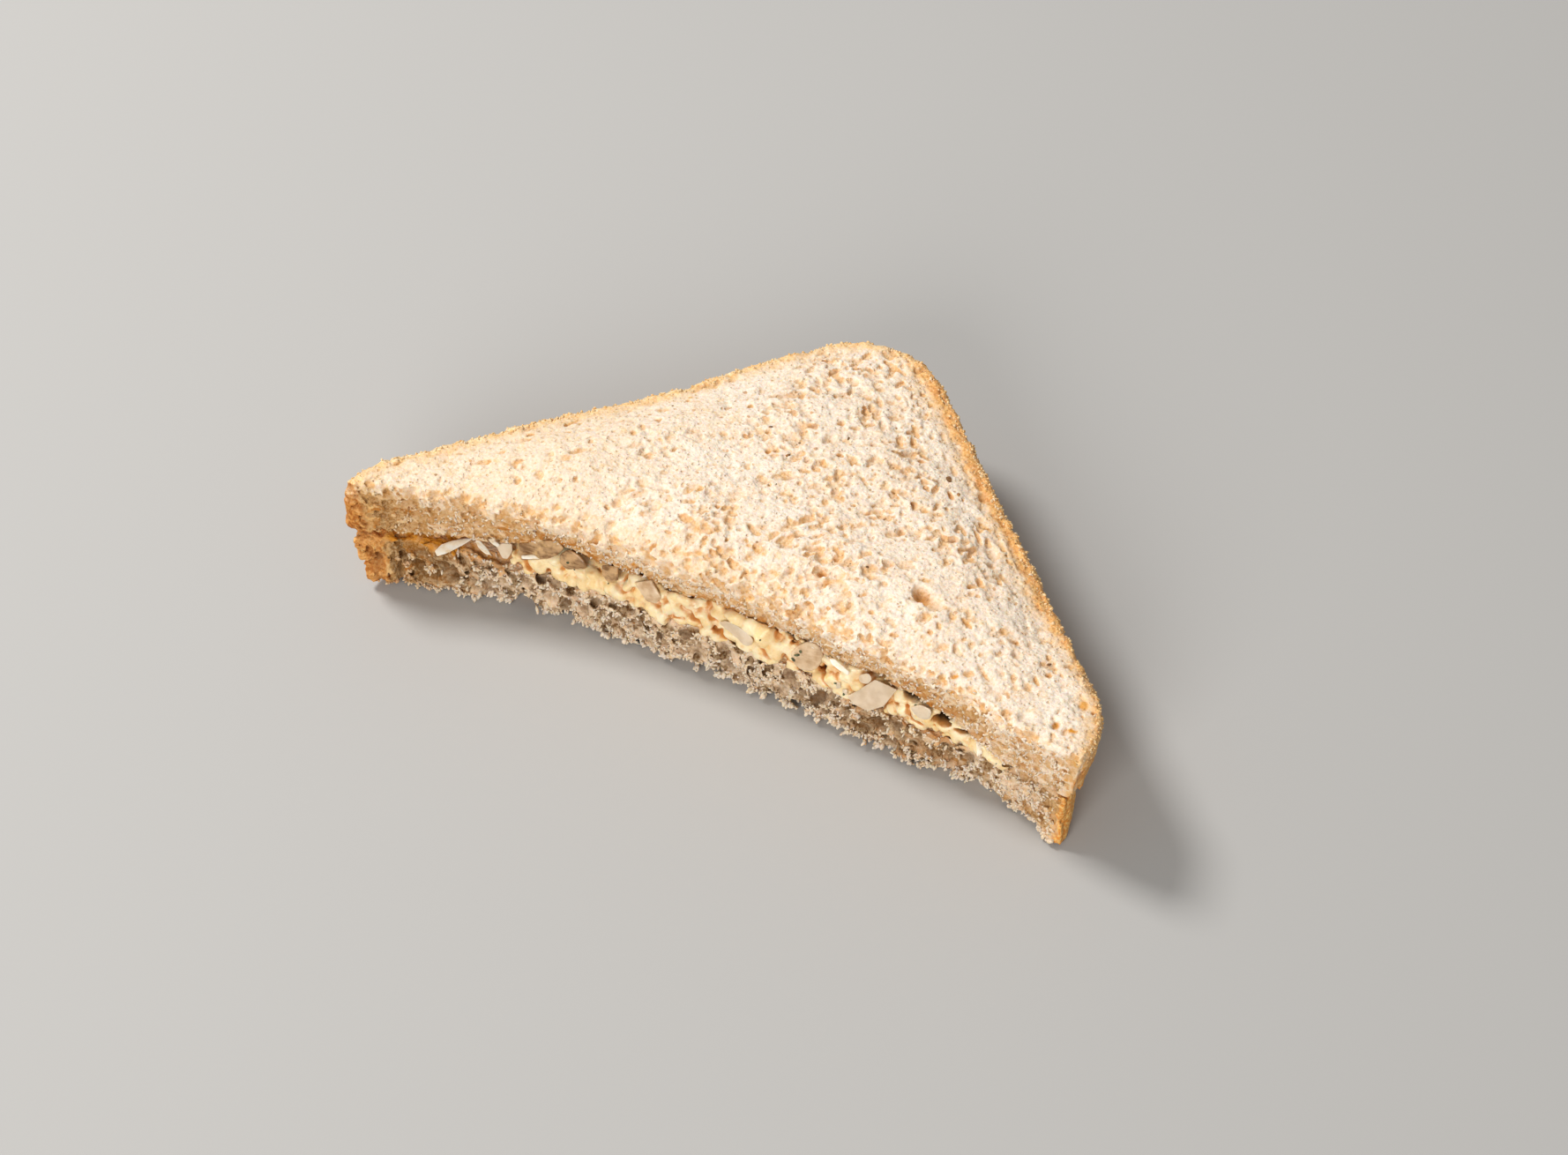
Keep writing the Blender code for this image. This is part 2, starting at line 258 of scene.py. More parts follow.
def body_field(node, step, pad=2.4):
    """Signed distances to a CAD node, on a grid."""
    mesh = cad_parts[node].data
    co = np.empty(len(mesh.vertices) * 3)
    mesh.vertices.foreach_get("co", co)
    co = co.reshape(-1, 3) * 1000
    mesh.calc_loop_triangles()
    faces = [tuple(t.vertices) for t in mesh.loop_triangles]
    tree = BVHTree.FromPolygons([tuple(c) for c in co], faces)
    lo = co.min(0) - pad + 0.0137
    n = np.ceil((co.max(0) + pad - lo) / step).astype(int) + 1
    data = np.empty(n, np.float32)
    near, cast, up = tree.find_nearest, tree.ray_cast, Vector((0, 0, 1))
    zs = [lo[2] + step * k for k in range(n[2])]
    levels, counts = np.array(zs), np.zeros(n, np.int8)
    floor_z = lo[2] - 1
    for i in range(n[0]):
        x = lo[0] + step * i
        for j in range(n[1]):
            y = lo[1] + step * j
            row = np.array([near((x, y, z))[3] for z in zs])
            for dx, dy in ((0.0, 0.0), (0.031, 0.017), (-0.019, 0.029)):
                z, crossed = floor_z, np.zeros(n[2], np.int8)
                while True:
                    hit = cast(Vector((x + dx, y + dy, z)), up)[0]
                    if hit is None:
                        break
                    crossed += levels > hit.z
                    z = hit.z + 1e-4
                counts[i, j] += crossed % 2
            data[i, j] = row
    inside = counts >= 2
    data[inside] *= -1
    # a lone column or cell whose sign disagrees with all its neighbours is turned round
    far = np.abs(data) > step * 0.25
    around = np.zeros(data.shape, np.int8)
    for axis in (0, 1):
        for shift in (1, -1):
            around += np.roll(inside, shift, axis)
    wrong = far & ((inside & (around == 0)) | (~inside & (around == 4)))
    data[wrong] *= -1
    return Field(lo, step, data)


def carve(field, blobs, add=False):
    """Cuts ellipsoids (centre, three radii, turn about Z, tilt) out of a field, or adds them."""
    xs, ys, zs = (a.astype(np.float32) for a in field.axes())
    data, lo, h = field.data, field.lo, field.step
    shape = np.array(data.shape)
    for c, r, turn, tilt in blobs:
        reach = max(r) + h * 1.5
        a = np.maximum(((c - reach - lo) / h).astype(int), 0)
        b = np.minimum(((c + reach - lo) / h).astype(int) + 2, shape)
        if (b - a < 1).any():
            continue
        x = (xs[a[0] : b[0]] - c[0])[:, None, None]
        y = (ys[a[1] : b[1]] - c[1])[None, :, None]
        z = (zs[a[2] : b[2]] - c[2])[None, None, :]
        ct, st = math.cos(turn), math.sin(turn)
        u, v = x * ct + y * st, y * ct - x * st
        if tilt:
            cl, sl = math.cos(tilt), math.sin(tilt)
            v, z = v * cl + z * sl, z * cl - v * sl
        g = (np.sqrt((u / r[0]) ** 2 + (v / r[1]) ** 2 + (z / r[2]) ** 2) - 1) * min(r)
        part = data[a[0] : b[0], a[1] : b[1], a[2] : b[2]]
        if add:
            k = np.float32(0.18)
            w = np.clip(0.5 + 0.5 * (part - g) / k, 0, 1)
            part[...] = part * (1 - w) + g * w - k * w * (1 - w)
        else:
            np.maximum(part, -g, out=part)


def skin(field):
    """Surface nets: the zero surface of a field as (vertices, quads)."""
    F, lo, h = field.data, field.lo, field.step
    s = F < 0
    c = np.zeros(tuple(n - 1 for n in F.shape), np.int8)
    for a in (0, 1):
        for b in (0, 1):
            for d in (0, 1):
                c += s[a : F.shape[0] - 1 + a, b : F.shape[1] - 1 + b, d : F.shape[2] - 1 + d]
    active = (c > 0) & (c < 8)
    cells = np.argwhere(active)
    index = np.full(active.shape, -1, np.int64)
    index[active] = np.arange(len(cells))
    total = np.zeros((len(cells), 3), np.float32)
    count = np.zeros(len(cells), np.float32)
    corners = [np.array(((m >> 0) & 1, (m >> 1) & 1, (m >> 2) & 1)) for m in range(8)]
    values = [F[cells[:, 0] + q[0], cells[:, 1] + q[1], cells[:, 2] + q[2]] for q in corners]
    for m in range(8):
        for axis in range(3):
            if (m >> axis) & 1:
                continue
            other = m | (1 << axis)
            fa, fb = values[m], values[other]
            cross = (fa < 0) != (fb < 0)
            t = np.where(cross, fa / np.where(cross, fa - fb, 1), 0)
            step = corners[other] - corners[m]
            total += np.where(cross[:, None], corners[m] + t[:, None] * step, 0)
            count += cross
    verts = lo + (cells + total / count[:, None]) * h
    quads = []
    for axis in range(3):
        o1, o2 = [(1, 2), (2, 0), (0, 1)][axis]
        first, second = [slice(None)] * 3, [slice(None)] * 3
        first[axis], second[axis] = slice(0, -1), slice(1, None)
        change = s[tuple(first)] != s[tuple(second)]
        where = np.argwhere(change)
        ok = (where[:, o1] > 0) & (where[:, o2] > 0) & (where[:, o1] < F.shape[o1] - 1) & (where[:, o2] < F.shape[o2] - 1)
        where = where[ok]
        inside = s[tuple(where.T)]
        ring = []
        for d1, d2 in ((-1, -1), (0, -1), (0, 0), (-1, 0)):
            cell = where.copy()
            cell[:, o1] += d1
            cell[:, o2] += d2
            ring.append(index[tuple(cell.T)])
        q = np.stack(ring, 1)
        q[~inside] = q[~inside][:, ::-1]
        quads.append(q)
    return verts, np.concatenate(quads)


# ---------------------------------------------------------------------------------------------------------------
# meshes
# ---------------------------------------------------------------------------------------------------------------
def new_mesh(name, verts, faces):
    """Fast mesh from millimetre vertices and equal-sided faces."""
    mesh = bpy.data.meshes.new(name)
    n = faces.shape[1]
    mesh.vertices.add(len(verts))
    mesh.vertices.foreach_set("co", (np.asarray(verts) * MM).astype(np.float32).ravel())
    mesh.loops.add(faces.size)
    mesh.loops.foreach_set("vertex_index", faces.astype(np.int32).ravel())
    mesh.polygons.add(len(faces))
    mesh.polygons.foreach_set("loop_start", np.arange(0, faces.size, n, dtype=np.int32))
    mesh.polygons.foreach_set("loop_total", np.full(len(faces), n, np.int32))
    mesh.update()
    mesh.validate()
    mesh.shade_smooth()
    return mesh


def vertices_of(mesh):
    co = np.empty(len(mesh.vertices) * 3, np.float32)
    mesh.vertices.foreach_get("co", co)
    return co.reshape(-1, 3).astype(float) * 1000


def attribute(mesh, name, values):
    made = mesh.attributes.new(name, "FLOAT", "POINT")
    made.data.foreach_set("value", np.asarray(values, np.float32))


def drop_specks(verts, faces, least=60):
    """Leaves out islands of fewer vertices than that."""
    label = np.arange(len(verts))
    a, b = np.concatenate((faces[:, 0], faces[:, 1], faces[:, 2])), np.concatenate((faces[:, 1], faces[:, 2], faces[:, 3]))
    while len(a):
        la, lb = label[a], label[b]
        apart = la != lb
        a, b, la, lb = a[apart], b[apart], la[apart], lb[apart]
        label[np.maximum(la, lb)] = np.minimum(la, lb)
        while True:
            shorter = label[label]
            if (shorter == label).all():
                break
            label = shorter
    count = np.bincount(label, minlength=len(verts))
    keep = count[label] >= least
    order = np.cumsum(keep) - 1
    kept = keep[faces].all(1)
    return verts[keep], order[faces[kept]]


def add_object(name, mesh, material, node):
    obj = bpy.data.objects.new(name, mesh)
    bpy.context.scene.collection.objects.link(obj)
    mesh.materials.clear()
    mesh.materials.append(material)
    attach(obj, "root")
    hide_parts(node)
    return obj


def thin_out(name, verts, faces, most):
    """The mesh with its flattest parts thinned out, so that it has at most that many triangles."""
    mesh = new_mesh(name + "_full", verts, faces)
    tris = len(faces) * (faces.shape[1] - 2)
    if tris > most:
        obj = bpy.data.objects.new(name + "_full", mesh)
        bpy.context.scene.collection.objects.link(obj)
        mod = obj.modifiers.new("thin", "DECIMATE")
        mod.ratio = most / tris
        graph = bpy.context.evaluated_depsgraph_get()
        made = bpy.data.meshes.new_from_object(obj.evaluated_get(graph))
        bpy.data.objects.remove(obj)
        bpy.data.meshes.remove(mesh)
        mesh = made
        mesh.name = name
    mesh.shade_smooth()
    say(name, "from", tris, "to", sum(len(p.vertices) - 2 for p in mesh.polygons), "triangles")
    return mesh


# ---------------------------------------------------------------------------------------------------------------
# materials
# ---------------------------------------------------------------------------------------------------------------
class Nodes:
    """A short way to build a material's nodes."""

    def __init__(self, name):
        self.material = bpy.data.materials.new(name)
        self.material.use_nodes = True
        self.tree = self.material.node_tree
        self.shader = self.tree.nodes["Principled BSDF"]
        self.output = self.tree.nodes["Material Output"]
        self.where = self.tree.nodes.new("ShaderNodeTexCoord").outputs["Object"]

    def link(self, a, b):
        self.tree.links.new(a, b)

    def put(self, socket, value):
        if isinstance(value, bpy.types.NodeSocket):
            self.link(value, socket)
        else:
            socket.default_value = value

    def node(self, kind, **inputs):
        n = self.tree.nodes.new(kind)
        for key, value in inputs.items():
            self.put(n.inputs[key], value)
        return n

    def attribute(self, name):
        n = self.tree.nodes.new("ShaderNodeAttribute")
        n.attribute_name = name
        return n.outputs["Fac"]

    def math(self, operation, a, b=0.0, c=0.0, clamp=False):
        n = self.tree.nodes.new("ShaderNodeMath")
        n.operation = operation
        n.use_clamp = clamp
        self.put(n.inputs[0], a)
        self.put(n.inputs[1], b)
        self.put(n.inputs[2], c)
        return n.outputs[0]

    def ramp(self, value, low, high, to_low=0.0, to_high=1.0, soft=True):
        n = self.tree.nodes.new("ShaderNodeMapRange")
        n.interpolation_type = "SMOOTHSTEP" if soft else "LINEAR"
        n.clamp = True
        self.put(n.inputs["Value"], value)
        self.put(n.inputs["From Min"], low)
        self.put(n.inputs["From Max"], high)
        self.put(n.inputs["To Min"], to_low)
        self.put(n.inputs["To Max"], to_high)
        return n.outputs["Result"]

    def mix(self, factor, a, b, blend="MIX"):
        n = self.tree.nodes.new("ShaderNodeMix")
        n.data_type = "RGBA"
        n.blend_type = blend
        n.clamp_factor = True
        self.put(n.inputs[0], factor)
        self.put(n.inputs[6], a if isinstance(a, bpy.types.NodeSocket) else (*a, 1.0))
        self.put(n.inputs[7], b if isinstance(b, bpy.types.NodeSocket) else (*b, 1.0))
        return n.outputs[2]

    def scaled(self, x, y, z):
        n = self.tree.nodes.new("ShaderNodeMapping")
        self.link(self.where, n.inputs["Vector"])
        n.inputs["Scale"].default_value = (x, y, z)
        return n.outputs["Vector"]

    def noise(self, size, detail=3.0, rough=0.55, vector=None, kind="Fac"):
        """size is the length of one feature in millimetres."""
        n = self.tree.nodes.new("ShaderNodeTexNoise")
        self.link(vector or self.where, n.inputs["Vector"])
        n.inputs["Scale"].default_value = 1000.0 / size
        n.inputs["Detail"].default_value = detail
        n.inputs["Roughness"].default_value = rough
        return n.outputs[kind]

    def cells(self, size, feature="F1", vector=None, out="Distance", jitter=1.0):
        n = self.tree.nodes.new("ShaderNodeTexVoronoi")
        n.feature = feature
        self.link(vector or self.where, n.inputs["Vector"])
        n.inputs["Scale"].default_value = 1000.0 / size
        n.inputs["Randomness"].default_value = jitter
        return n.outputs[out]

    def bump(self, height, millimetres, strength=1.0, normal=None):
        n = self.tree.nodes.new("ShaderNodeBump")
        n.inputs["Strength"].default_value = strength
        n.inputs["Distance"].default_value = millimetres * MM
        self.link(height, n.inputs["Height"])
        if normal is not None:
            self.link(normal, n.inputs["Normal"])
        return n.outputs["Normal"]


def srgb(r, g, b):
    return tuple((c / 255 / 12.92) if c / 255 <= 0.04045 else ((c / 255 + 0.055) / 1.055) ** 2.4 for c in (r, g, b))


def bread_material(name):
    """Wholemeal crumb and crust. It reads depth (mm below the slice's own surface), cavity (how closed in a place is),
    crust (mm in from the crust side), tone (how brown the crumb is painted, on the cut faces partly painted shade),
    shade (painted shade: how dark its pores are painted), stain_and_shade (egg salad soaked in, and on the lower
    slice's strip under the upper slice painted shade as well), baked (how dark the crust is, below 0 more golden) and
    pale (how floury its rim is). Depth, cavity and shade paint shade into the pores."""
    m = Nodes(name)
    depth, crust, tone = m.attribute("depth"), m.attribute("crust"), m.attribute("tone")
    cavity, shade = m.attribute("cavity"), m.attribute("shade")
    stain_and_shade, baked, pale = m.attribute("stain_and_shade"), m.attribute("baked"), m.attribute("pale")
    fine = m.noise(0.62, 4.0, 0.62)
    broad = m.noise(9.0, 3.0, 0.5)
    patch = m.noise(2.0, 3.0, 0.55)
    hue = m.noise(1.3, 2.0, 0.5, vector=m.scaled(1.0, 1.07, 0.93))

    # pale crumb with peach and yellowish patches
    crumb = m.mix(m.ramp(broad, 0.35, 0.65), srgb(239, 221, 200), srgb(245, 231, 214))
    crumb = m.mix(m.ramp(hue, 0.36, 0.52, 0.55, 0.0), crumb, srgb(246, 222, 203))
    crumb = m.mix(m.ramp(hue, 0.54, 0.68, 0.0, 0.50), crumb, srgb(242, 221, 188))
    crumb = m.mix(m.math("MULTIPLY", m.ramp(patch, 0.54, 0.68), 0.42), crumb, srgb(236, 197, 144))
    crumb = m.mix(m.math("MULTIPLY", m.ramp(fine, 0.53, 0.65), 0.50), crumb, srgb(230, 190, 138))
    crumb = m.mix(m.ramp(fine, 0.37, 0.48, 0.80, 0.0), crumb, srgb(252, 238, 220))
    # painted shade: tiny pores between the larger ones, too small to model, are painted as golden dots
    dots = m.math("ADD", m.cells(1.25), m.math("MULTIPLY", m.noise(0.5, 2.0), 0.30))
    dotted = m.math("MULTIPLY", m.ramp(dots, 0.26, 0.42, 0.60, 0.0), m.ramp(m.noise(5.0, 2.0), 0.38, 0.62, 0.15, 1.0))
    crumb = m.mix(dotted, crumb, srgb(226, 176, 110))
    # bran: small flakes here and there, brown and a few dark
    spot = m.math("ADD", m.cells(4.3), m.math("MULTIPLY", m.noise(0.8, 2.0), 0.22))
    crumb = m.mix(m.ramp(spot, 0.165, 0.215, 0.75, 0.0), crumb, srgb(196, 142, 88))
    dark = m.math("ADD", m.cells(11.0), m.math("MULTIPLY", m.noise(0.7, 2.0), 0.045))
    crumb = m.mix(m.ramp(dark, 0.040, 0.054, 0.85, 0.0), crumb, srgb(142, 98, 56))
    # browner crumb and streaks on the cut faces: partly crumb dragged along the cut by the knife, partly painted shade
    drag = m.noise(1.7, 3.0, 0.55, vector=m.scaled(0.30, 1.0, 1.1))
    brown = m.math("MULTIPLY", m.ramp(tone, 0.26, 1.0, 0.0, 1.0, soft=False), m.ramp(drag, 0.44, 0.60, 0.10, 1.8))
    crumb = m.mix(m.math("MULTIPLY", tone, 0.9), crumb, srgb(230, 187, 122))
    crumb = m.mix(brown, crumb, srgb(186, 120, 50))
    # egg salad soaked into the crumb; on the lower slice's strip under the upper slice this is also painted shade
    soak_and_shade = m.math("MULTIPLY", stain_and_shade, m.ramp(patch, 0.35, 0.6, 0.62, 1.15))
    crumb = m.mix(soak_and_shade, crumb, srgb(216, 146, 48))
    # painted shade: pores are painted browner the more closed in and the deeper they are, and darker where shade is
    # high
    wobble = m.math("MULTIPLY", m.math("SUBTRACT", patch, 0.5), 0.5)
    deep = m.math("ADD", depth, wobble)
    pore = m.mix(shade, srgb(222, 166, 96), srgb(98, 60, 22))
    pore = m.mix(m.ramp(fine, 0.44, 0.56, 0.35, 0.0), pore, srgb(248, 218, 170))
    crumb = m.mix(m.ramp(m.math("ADD", cavity, m.math("MULTIPLY", wobble, 0.5)), m.ramp(shade, 0.0, 0.3, 0.17, 0.10), m.ramp(shade, 0.0, 0.3, 0.74, 0.54), 0.0, m.ramp(shade, 0.0, 0.6, 0.78, 0.90)), crumb, pore)
    crumb = m.mix(m.ramp(deep, 0.30, 1.3, 0.0, 0.60), crumb, pore)
    crumb = m.mix(m.ramp(deep, 0.9, 2.2, 0.0, 0.80), crumb, m.mix(shade, srgb(204, 140, 66), srgb(74, 44, 16)))

    # crust: golden brown outside, fading into the crumb over a millimetre or so
    mottle = m.noise(3.0, 4.0, 0.6)
    grain = m.noise(0.62, 3.0, 0.6)
    shell = m.mix(m.ramp(mottle, 0.38, 0.62), srgb(218, 146, 72), srgb(238, 180, 106))
    shell = m.mix(m.ramp(grain, 0.50, 0.64, 0.0, 0.55), shell, srgb(244, 206, 148))
    shell = m.mix(m.ramp(grain, 0.34, 0.47, 0.62, 0.0), shell, srgb(180, 110, 48))
    shell = m.mix(m.math("MULTIPLY", pale, m.ramp(mottle, 0.36, 0.58, 1.0, 0.55)), shell, m.mix(m.ramp(grain, 0.42, 0.58), srgb(242, 203, 144), srgb(250, 226, 186)))
    shell = m.mix(m.math("MULTIPLY", baked, -1.0, clamp=True), shell, m.mix(m.ramp(grain, 0.40, 0.60), srgb(230, 146, 58), srgb(250, 200, 122)))
    shell = m.mix(m.math("MULTIPLY", baked, 1.0, clamp=True), shell, m.mix(m.ramp(grain, 0.40, 0.60), srgb(168, 92, 24), srgb(216, 146, 66)))
    # painted shade: the crust is painted darker where it is closed in and in deep grooves
    shell = m.mix(m.ramp(cavity, 0.2, 0.7, 0.0, 0.45), shell, srgb(164, 94, 34))
    shell = m.mix(m.ramp(deep, 0.5, 1.8, 0.0, 0.75), shell, srgb(116, 64, 22))
    edge = m.math("ADD", crust, m.math("MULTIPLY", m.math("SUBTRACT", m.noise(1.8, 3.0), 0.5), 3.2))
    into = m.ramp(edge, 1.1, 2.5, 1.0, 0.0)
    under = m.ramp(edge, 1.6, 5.5, 0.42, 0.0)
    crumb = m.mix(m.math("MULTIPLY", under, m.ramp(patch, 0.35, 0.6, 0.6, 1.5)), crumb, srgb(236, 188, 122))
    colour = m.mix(into, crumb, shell)
    m.put(m.shader.inputs["Base Color"], colour)

    m.put(m.shader.inputs["Roughness"], m.ramp(into, 0.0, 1.0, 0.92, 0.66))
    m.shader.inputs["Specular IOR Level"].default_value = 0.2
    m.shader.inputs["Subsurface Weight"].default_value = 0.28
    m.shader.inputs["Subsurface Radius"].default_value = (1.0, 0.66, 0.34)
    m.shader.inputs["Subsurface Scale"].default_value = 0.8 * MM
    pores = m.cells(0.62, feature="SMOOTH_F1")
    tiny = m.noise(0.30, 3.0, 0.65)
    height = m.math("ADD", m.math("MULTIPLY", pores, 0.9), m.math("MULTIPLY", tiny, 0.5))
    height = m.math("ADD", height, m.math("MULTIPLY", m.ramp(dots, 0.22, 0.44), 0.8))
    m.link(m.bump(height, 0.28, 0.95), m.shader.inputs["Normal"])
    return m.material


def mash_material():
    """Mashed egg yolk with mayonnaise: pale yellow, moist, a little translucent, with grains of firmer yolk."""
    m = Nodes("egg_mash")
    tone = m.noise(4.2, 3.0, 0.55)
    base = m.mix(m.ramp(tone, 0.36, 0.64), srgb(250, 216, 156), srgb(255, 235, 194))
    grains = m.cells(1.5)
    base = m.mix(m.math("MULTIPLY", m.ramp(grains, 0.12, 0.36, 1.0, 0.0), 0.45), base, srgb(238, 182, 98))
    base = m.mix(m.math("MULTIPLY", m.ramp(m.noise(1.2, 3.0), 0.55, 0.70), 0.6), base, srgb(255, 240, 205))
    spots = m.math("ADD", m.cells(5.2), m.math("MULTIPLY", m.noise(0.9, 2.0), 0.12))
    base = m.mix(m.ramp(spots, 0.05, 0.11, 0.55, 0.0), base, srgb(222, 138, 62))
    hollow, cavity, hollow_shadow = m.attribute("depth"), m.attribute("cavity"), m.attribute("hollow_shadow")
    # painted shade: the mash is painted orange in its crevices, browner and then near black the further it lies behind
    # the cut, and near black in the deep hollows
    base = m.mix(m.ramp(cavity, 0.24, 0.84, 0.0, 0.88), base, srgb(214, 140, 58))
    base = m.mix(m.ramp(hollow, 1.5, 3.2, 0.0, 0.75), base, srgb(196, 132, 64))
    base = m.mix(m.ramp(hollow, 2.6, 4.2, 0.0, 0.92), base, srgb(64, 42, 22))
    base = m.mix(hollow_shadow, base, srgb(44, 27, 14))
    m.put(m.shader.inputs["Base Color"], base)
    m.put(m.shader.inputs["Roughness"], m.ramp(m.noise(1.7, 3.0), 0.35, 0.7, 0.24, 0.42))
    m.shader.inputs["Specular IOR Level"].default_value = 0.5
    m.shader.inputs["Subsurface Weight"].default_value = 0.25
    m.shader.inputs["Subsurface Radius"].default_value = (1.0, 0.62, 0.28)
    m.shader.inputs["Subsurface Scale"].default_value = 1.0 * MM
    height = m.math("ADD", m.math("MULTIPLY", m.cells(1.1, feature="SMOOTH_F1"), 0.7), m.math("MULTIPLY", m.noise(0.45, 3.0, 0.6), 0.4))
    m.link(m.bump(height, 0.22, 0.7), m.shader.inputs["Normal"])
    return m.material


def chunk_material(name, light, dark, size=2.6, weight=0.45, layers=0.0):
    """Pieces in the mash: boiled egg white, clean, or stained by the dressing and, under the upper slice, darkened with
    painted shade; and onion. Smooth, moist, translucent.
    """
    m = Nodes(name)
    cloud = m.noise(size, 3.0, 0.5)
    base = m.mix(m.ramp(cloud, 0.36, 0.64), srgb(*dark), srgb(*light))
    if layers:
        veins = m.noise(0.9, 2.0, 0.5, vector=m.scaled(0.25, 0.7, 1.9))
        base = m.mix(m.math("MULTIPLY", m.ramp(veins, 0.42, 0.62), layers), base, srgb(*(min(255, c + 22) for c in light)))
    smear = m.ramp(m.noise(2.2, 3.0), 0.60, 0.72, 0.0, 0.40)
    base = m.mix(smear, base, srgb(236, 196, 128))
    m.put(m.shader.inputs["Base Color"], base)
    m.put(m.shader.inputs["Roughness"], m.ramp(m.noise(1.2, 2.0), 0.4, 0.7, 0.28, 0.44))
    m.shader.inputs["Specular IOR Level"].default_value = 0.45
    m.shader.inputs["Subsurface Weight"].default_value = weight
    m.shader.inputs["Subsurface Radius"].default_value = (1.0, 0.82, 0.62)
    m.shader.inputs["Subsurface Scale"].default_value = 1.8 * MM
    m.link(m.bump(m.noise(0.6, 2.0, 0.5), 0.07, 0.6), m.shader.inputs["Normal"])
    return m.material


def herb_material():
    """Chopped herb: dark green, a little glossy."""
    m = Nodes("herb")
    base = m.mix(m.ramp(m.noise(0.6, 2.0), 0.4, 0.65), srgb(66, 72, 42), srgb(112, 114, 72))
    m.put(m.shader.inputs["Base Color"], base)
    m.shader.inputs["Roughness"].default_value = 0.45
    m.link(m.bump(m.noise(0.3, 2.0), 0.04, 0.5), m.shader.inputs["Normal"])
    return m.material


def bran_material():
    """Flakes of bran, brown to dark brown."""
    m = Nodes("bran")
    base = m.mix(m.ramp(m.noise(1.8, 2.0), 0.42, 0.6), srgb(112, 78, 44), srgb(176, 124, 70))
    m.put(m.shader.inputs["Base Color"], base)
    m.shader.inputs["Roughness"].default_value = 0.75
    m.link(m.bump(m.noise(0.25, 2.0), 0.04, 0.6), m.shader.inputs["Normal"])
    return m.material


# ---------------------------------------------------------------------------------------------------------------
# bread
# ---------------------------------------------------------------------------------------------------------------
def side_depth(node, p):
    """How far each point lies in from the slice's crust side, in plan."""
    low, high = PLANS[node]
    z0, z1 = (0.5, 11.6) if node == "bread_bottom" else (13.0, 24.5)
    t = smooth(z0, z1, p[:, 2])
    return in_plan(low, p) * (1 - t) + in_plan(high, p) * t


def slopes(field, cells):
    """Outward normals of a field at grid cells."""
    d = field.data
    out = np.empty((len(cells), 3))
    for axis in range(3):
        up, down = cells.copy(), cells.copy()
        up[:, axis] = np.minimum(up[:, axis] + 1, d.shape[axis] - 1)
        down[:, axis] = np.maximum(down[:, axis] - 1, 0)
        out[:, axis] = d[tuple(up.T)] - d[tuple(down.T)]
    return out / np.maximum(np.linalg.norm(out, axis=1), 1e-6)[:, None]


class Surface:
    """Random places on a slice's skin, with what lies there."""

    def __init__(self, body, node, rng):
        self.body, self.node, self.rng = body, node, rng
        cells = np.argwhere(np.abs(body.data) < body.step * 0.55)
        self.p = body.lo + cells * body.step
        self.n = slopes(body, cells)
        self.front = self.p[:, 1] - cut_line(self.p[:, 0])
        self.side = side_depth(node, self.p)

    def pick(self, count, where):
        index = np.flatnonzero(where)
        index = index[self.rng.integers(0, len(index), count)]
        return self.p[index] + (self.rng.random((count, 3)) - 0.5) * self.body.step, self.n[index], self.side[index]

    def bubbles(self, count, where, sizes, power=2.2, out=(0.2, 0.7), flat=(0.7, 1.0), long=(1.0, 1.35), crust_clear=0.6, turn=None):
        """Gas cells opened by the surface: centre outside it by that part of the radius. Near the crust they are
        smaller and drawn out along it."""
        p, n, side = self.pick(count, where)
        u = self.rng.random((count, 6))
        made = []
        for c, q, s, v in zip(p, n, side, u):
            near = 1 - min(1.0, max(0.0, (s - 2.0) / 9.0))
            r = sizes[0] + (sizes[1] - sizes[0]) * v[0] ** power
            if s < crust_clear + r * 0.6:
                continue
            along = math.radians(ANGLE_LEFT if c[0] < -2 else -45.5) if turn is None else turn
            angle = along + (v[1] - 0.5) * (math.pi * (1 - 0.88 * near) if turn is None else 0.5)
            stretch = long[0] + (long[1] - long[0] + 1.1 * near) * v[2]
            wide = (0.75 + 0.25 * v[3]) * (1 - 0.3 * near)
            tall = flat[0] + (flat[1] - flat[0]) * v[4]
            away = r * (out[0] + (out[1] - out[0]) * v[5]) * (tall if abs(q[2]) > 0.7 else wide)
            made.append((c + q * away, (r * stretch, r * wide, r * tall), angle, 0.0))
        return made


def normals_of(mesh):
    normals = np.empty(len(mesh.vertices) * 3, np.float32)
    mesh.vertex_normals.foreach_get("vector", normals)
    return normals.reshape(-1, 3).astype(float)


def closed_in(field, mesh, points, reach):
    """0 on open ground, towards 1 where the surface faces more of itself within that reach."""
    out = points + normals_of(mesh) * reach
    return 1 - np.clip(field.at(out) / reach, 0, 1)


def top_pit(body, x, y, long, wide, depth, turn=0.0, under=False):
    """A hole in a slice's upper face: its opening's half length and half width, its depth and its turn in degrees."""
    zs = np.linspace(33, 18, 151)
    d = body.at(np.column_stack((np.full(151, x), np.full(151, y), zs)))
    z = zs[np.argmax(d < 0)]
    e = 0.28 * depth
    k = math.sqrt(1 - (e / (depth + e)) ** 2)
    return (np.array((x, y, z + e)), (long / k, wide / k, depth + e), math.radians(turn), 0.0)


def cut_at(body, x, z):
    """y of a body's cut face at x and z."""
    ys = float(cut_line(x)) + np.linspace(-4, 9, 261)
    d = body.at(np.column_stack((np.full(261, x), ys, np.full(261, z))))
    return ys[np.argmax(d < 0)] if (d < 0).any() else float(cut_line(x))


def cut_pit(body, x, z, long, tall, depth):
    """A hole in a slice's cut face."""
    e = 0.28 * depth
    k = math.sqrt(1 - (e / (depth + e)) ** 2)
    return (np.array((x, cut_at(body, x, z) - e, z)), (long / k, depth + e, tall / k), 0.0, 0.0)


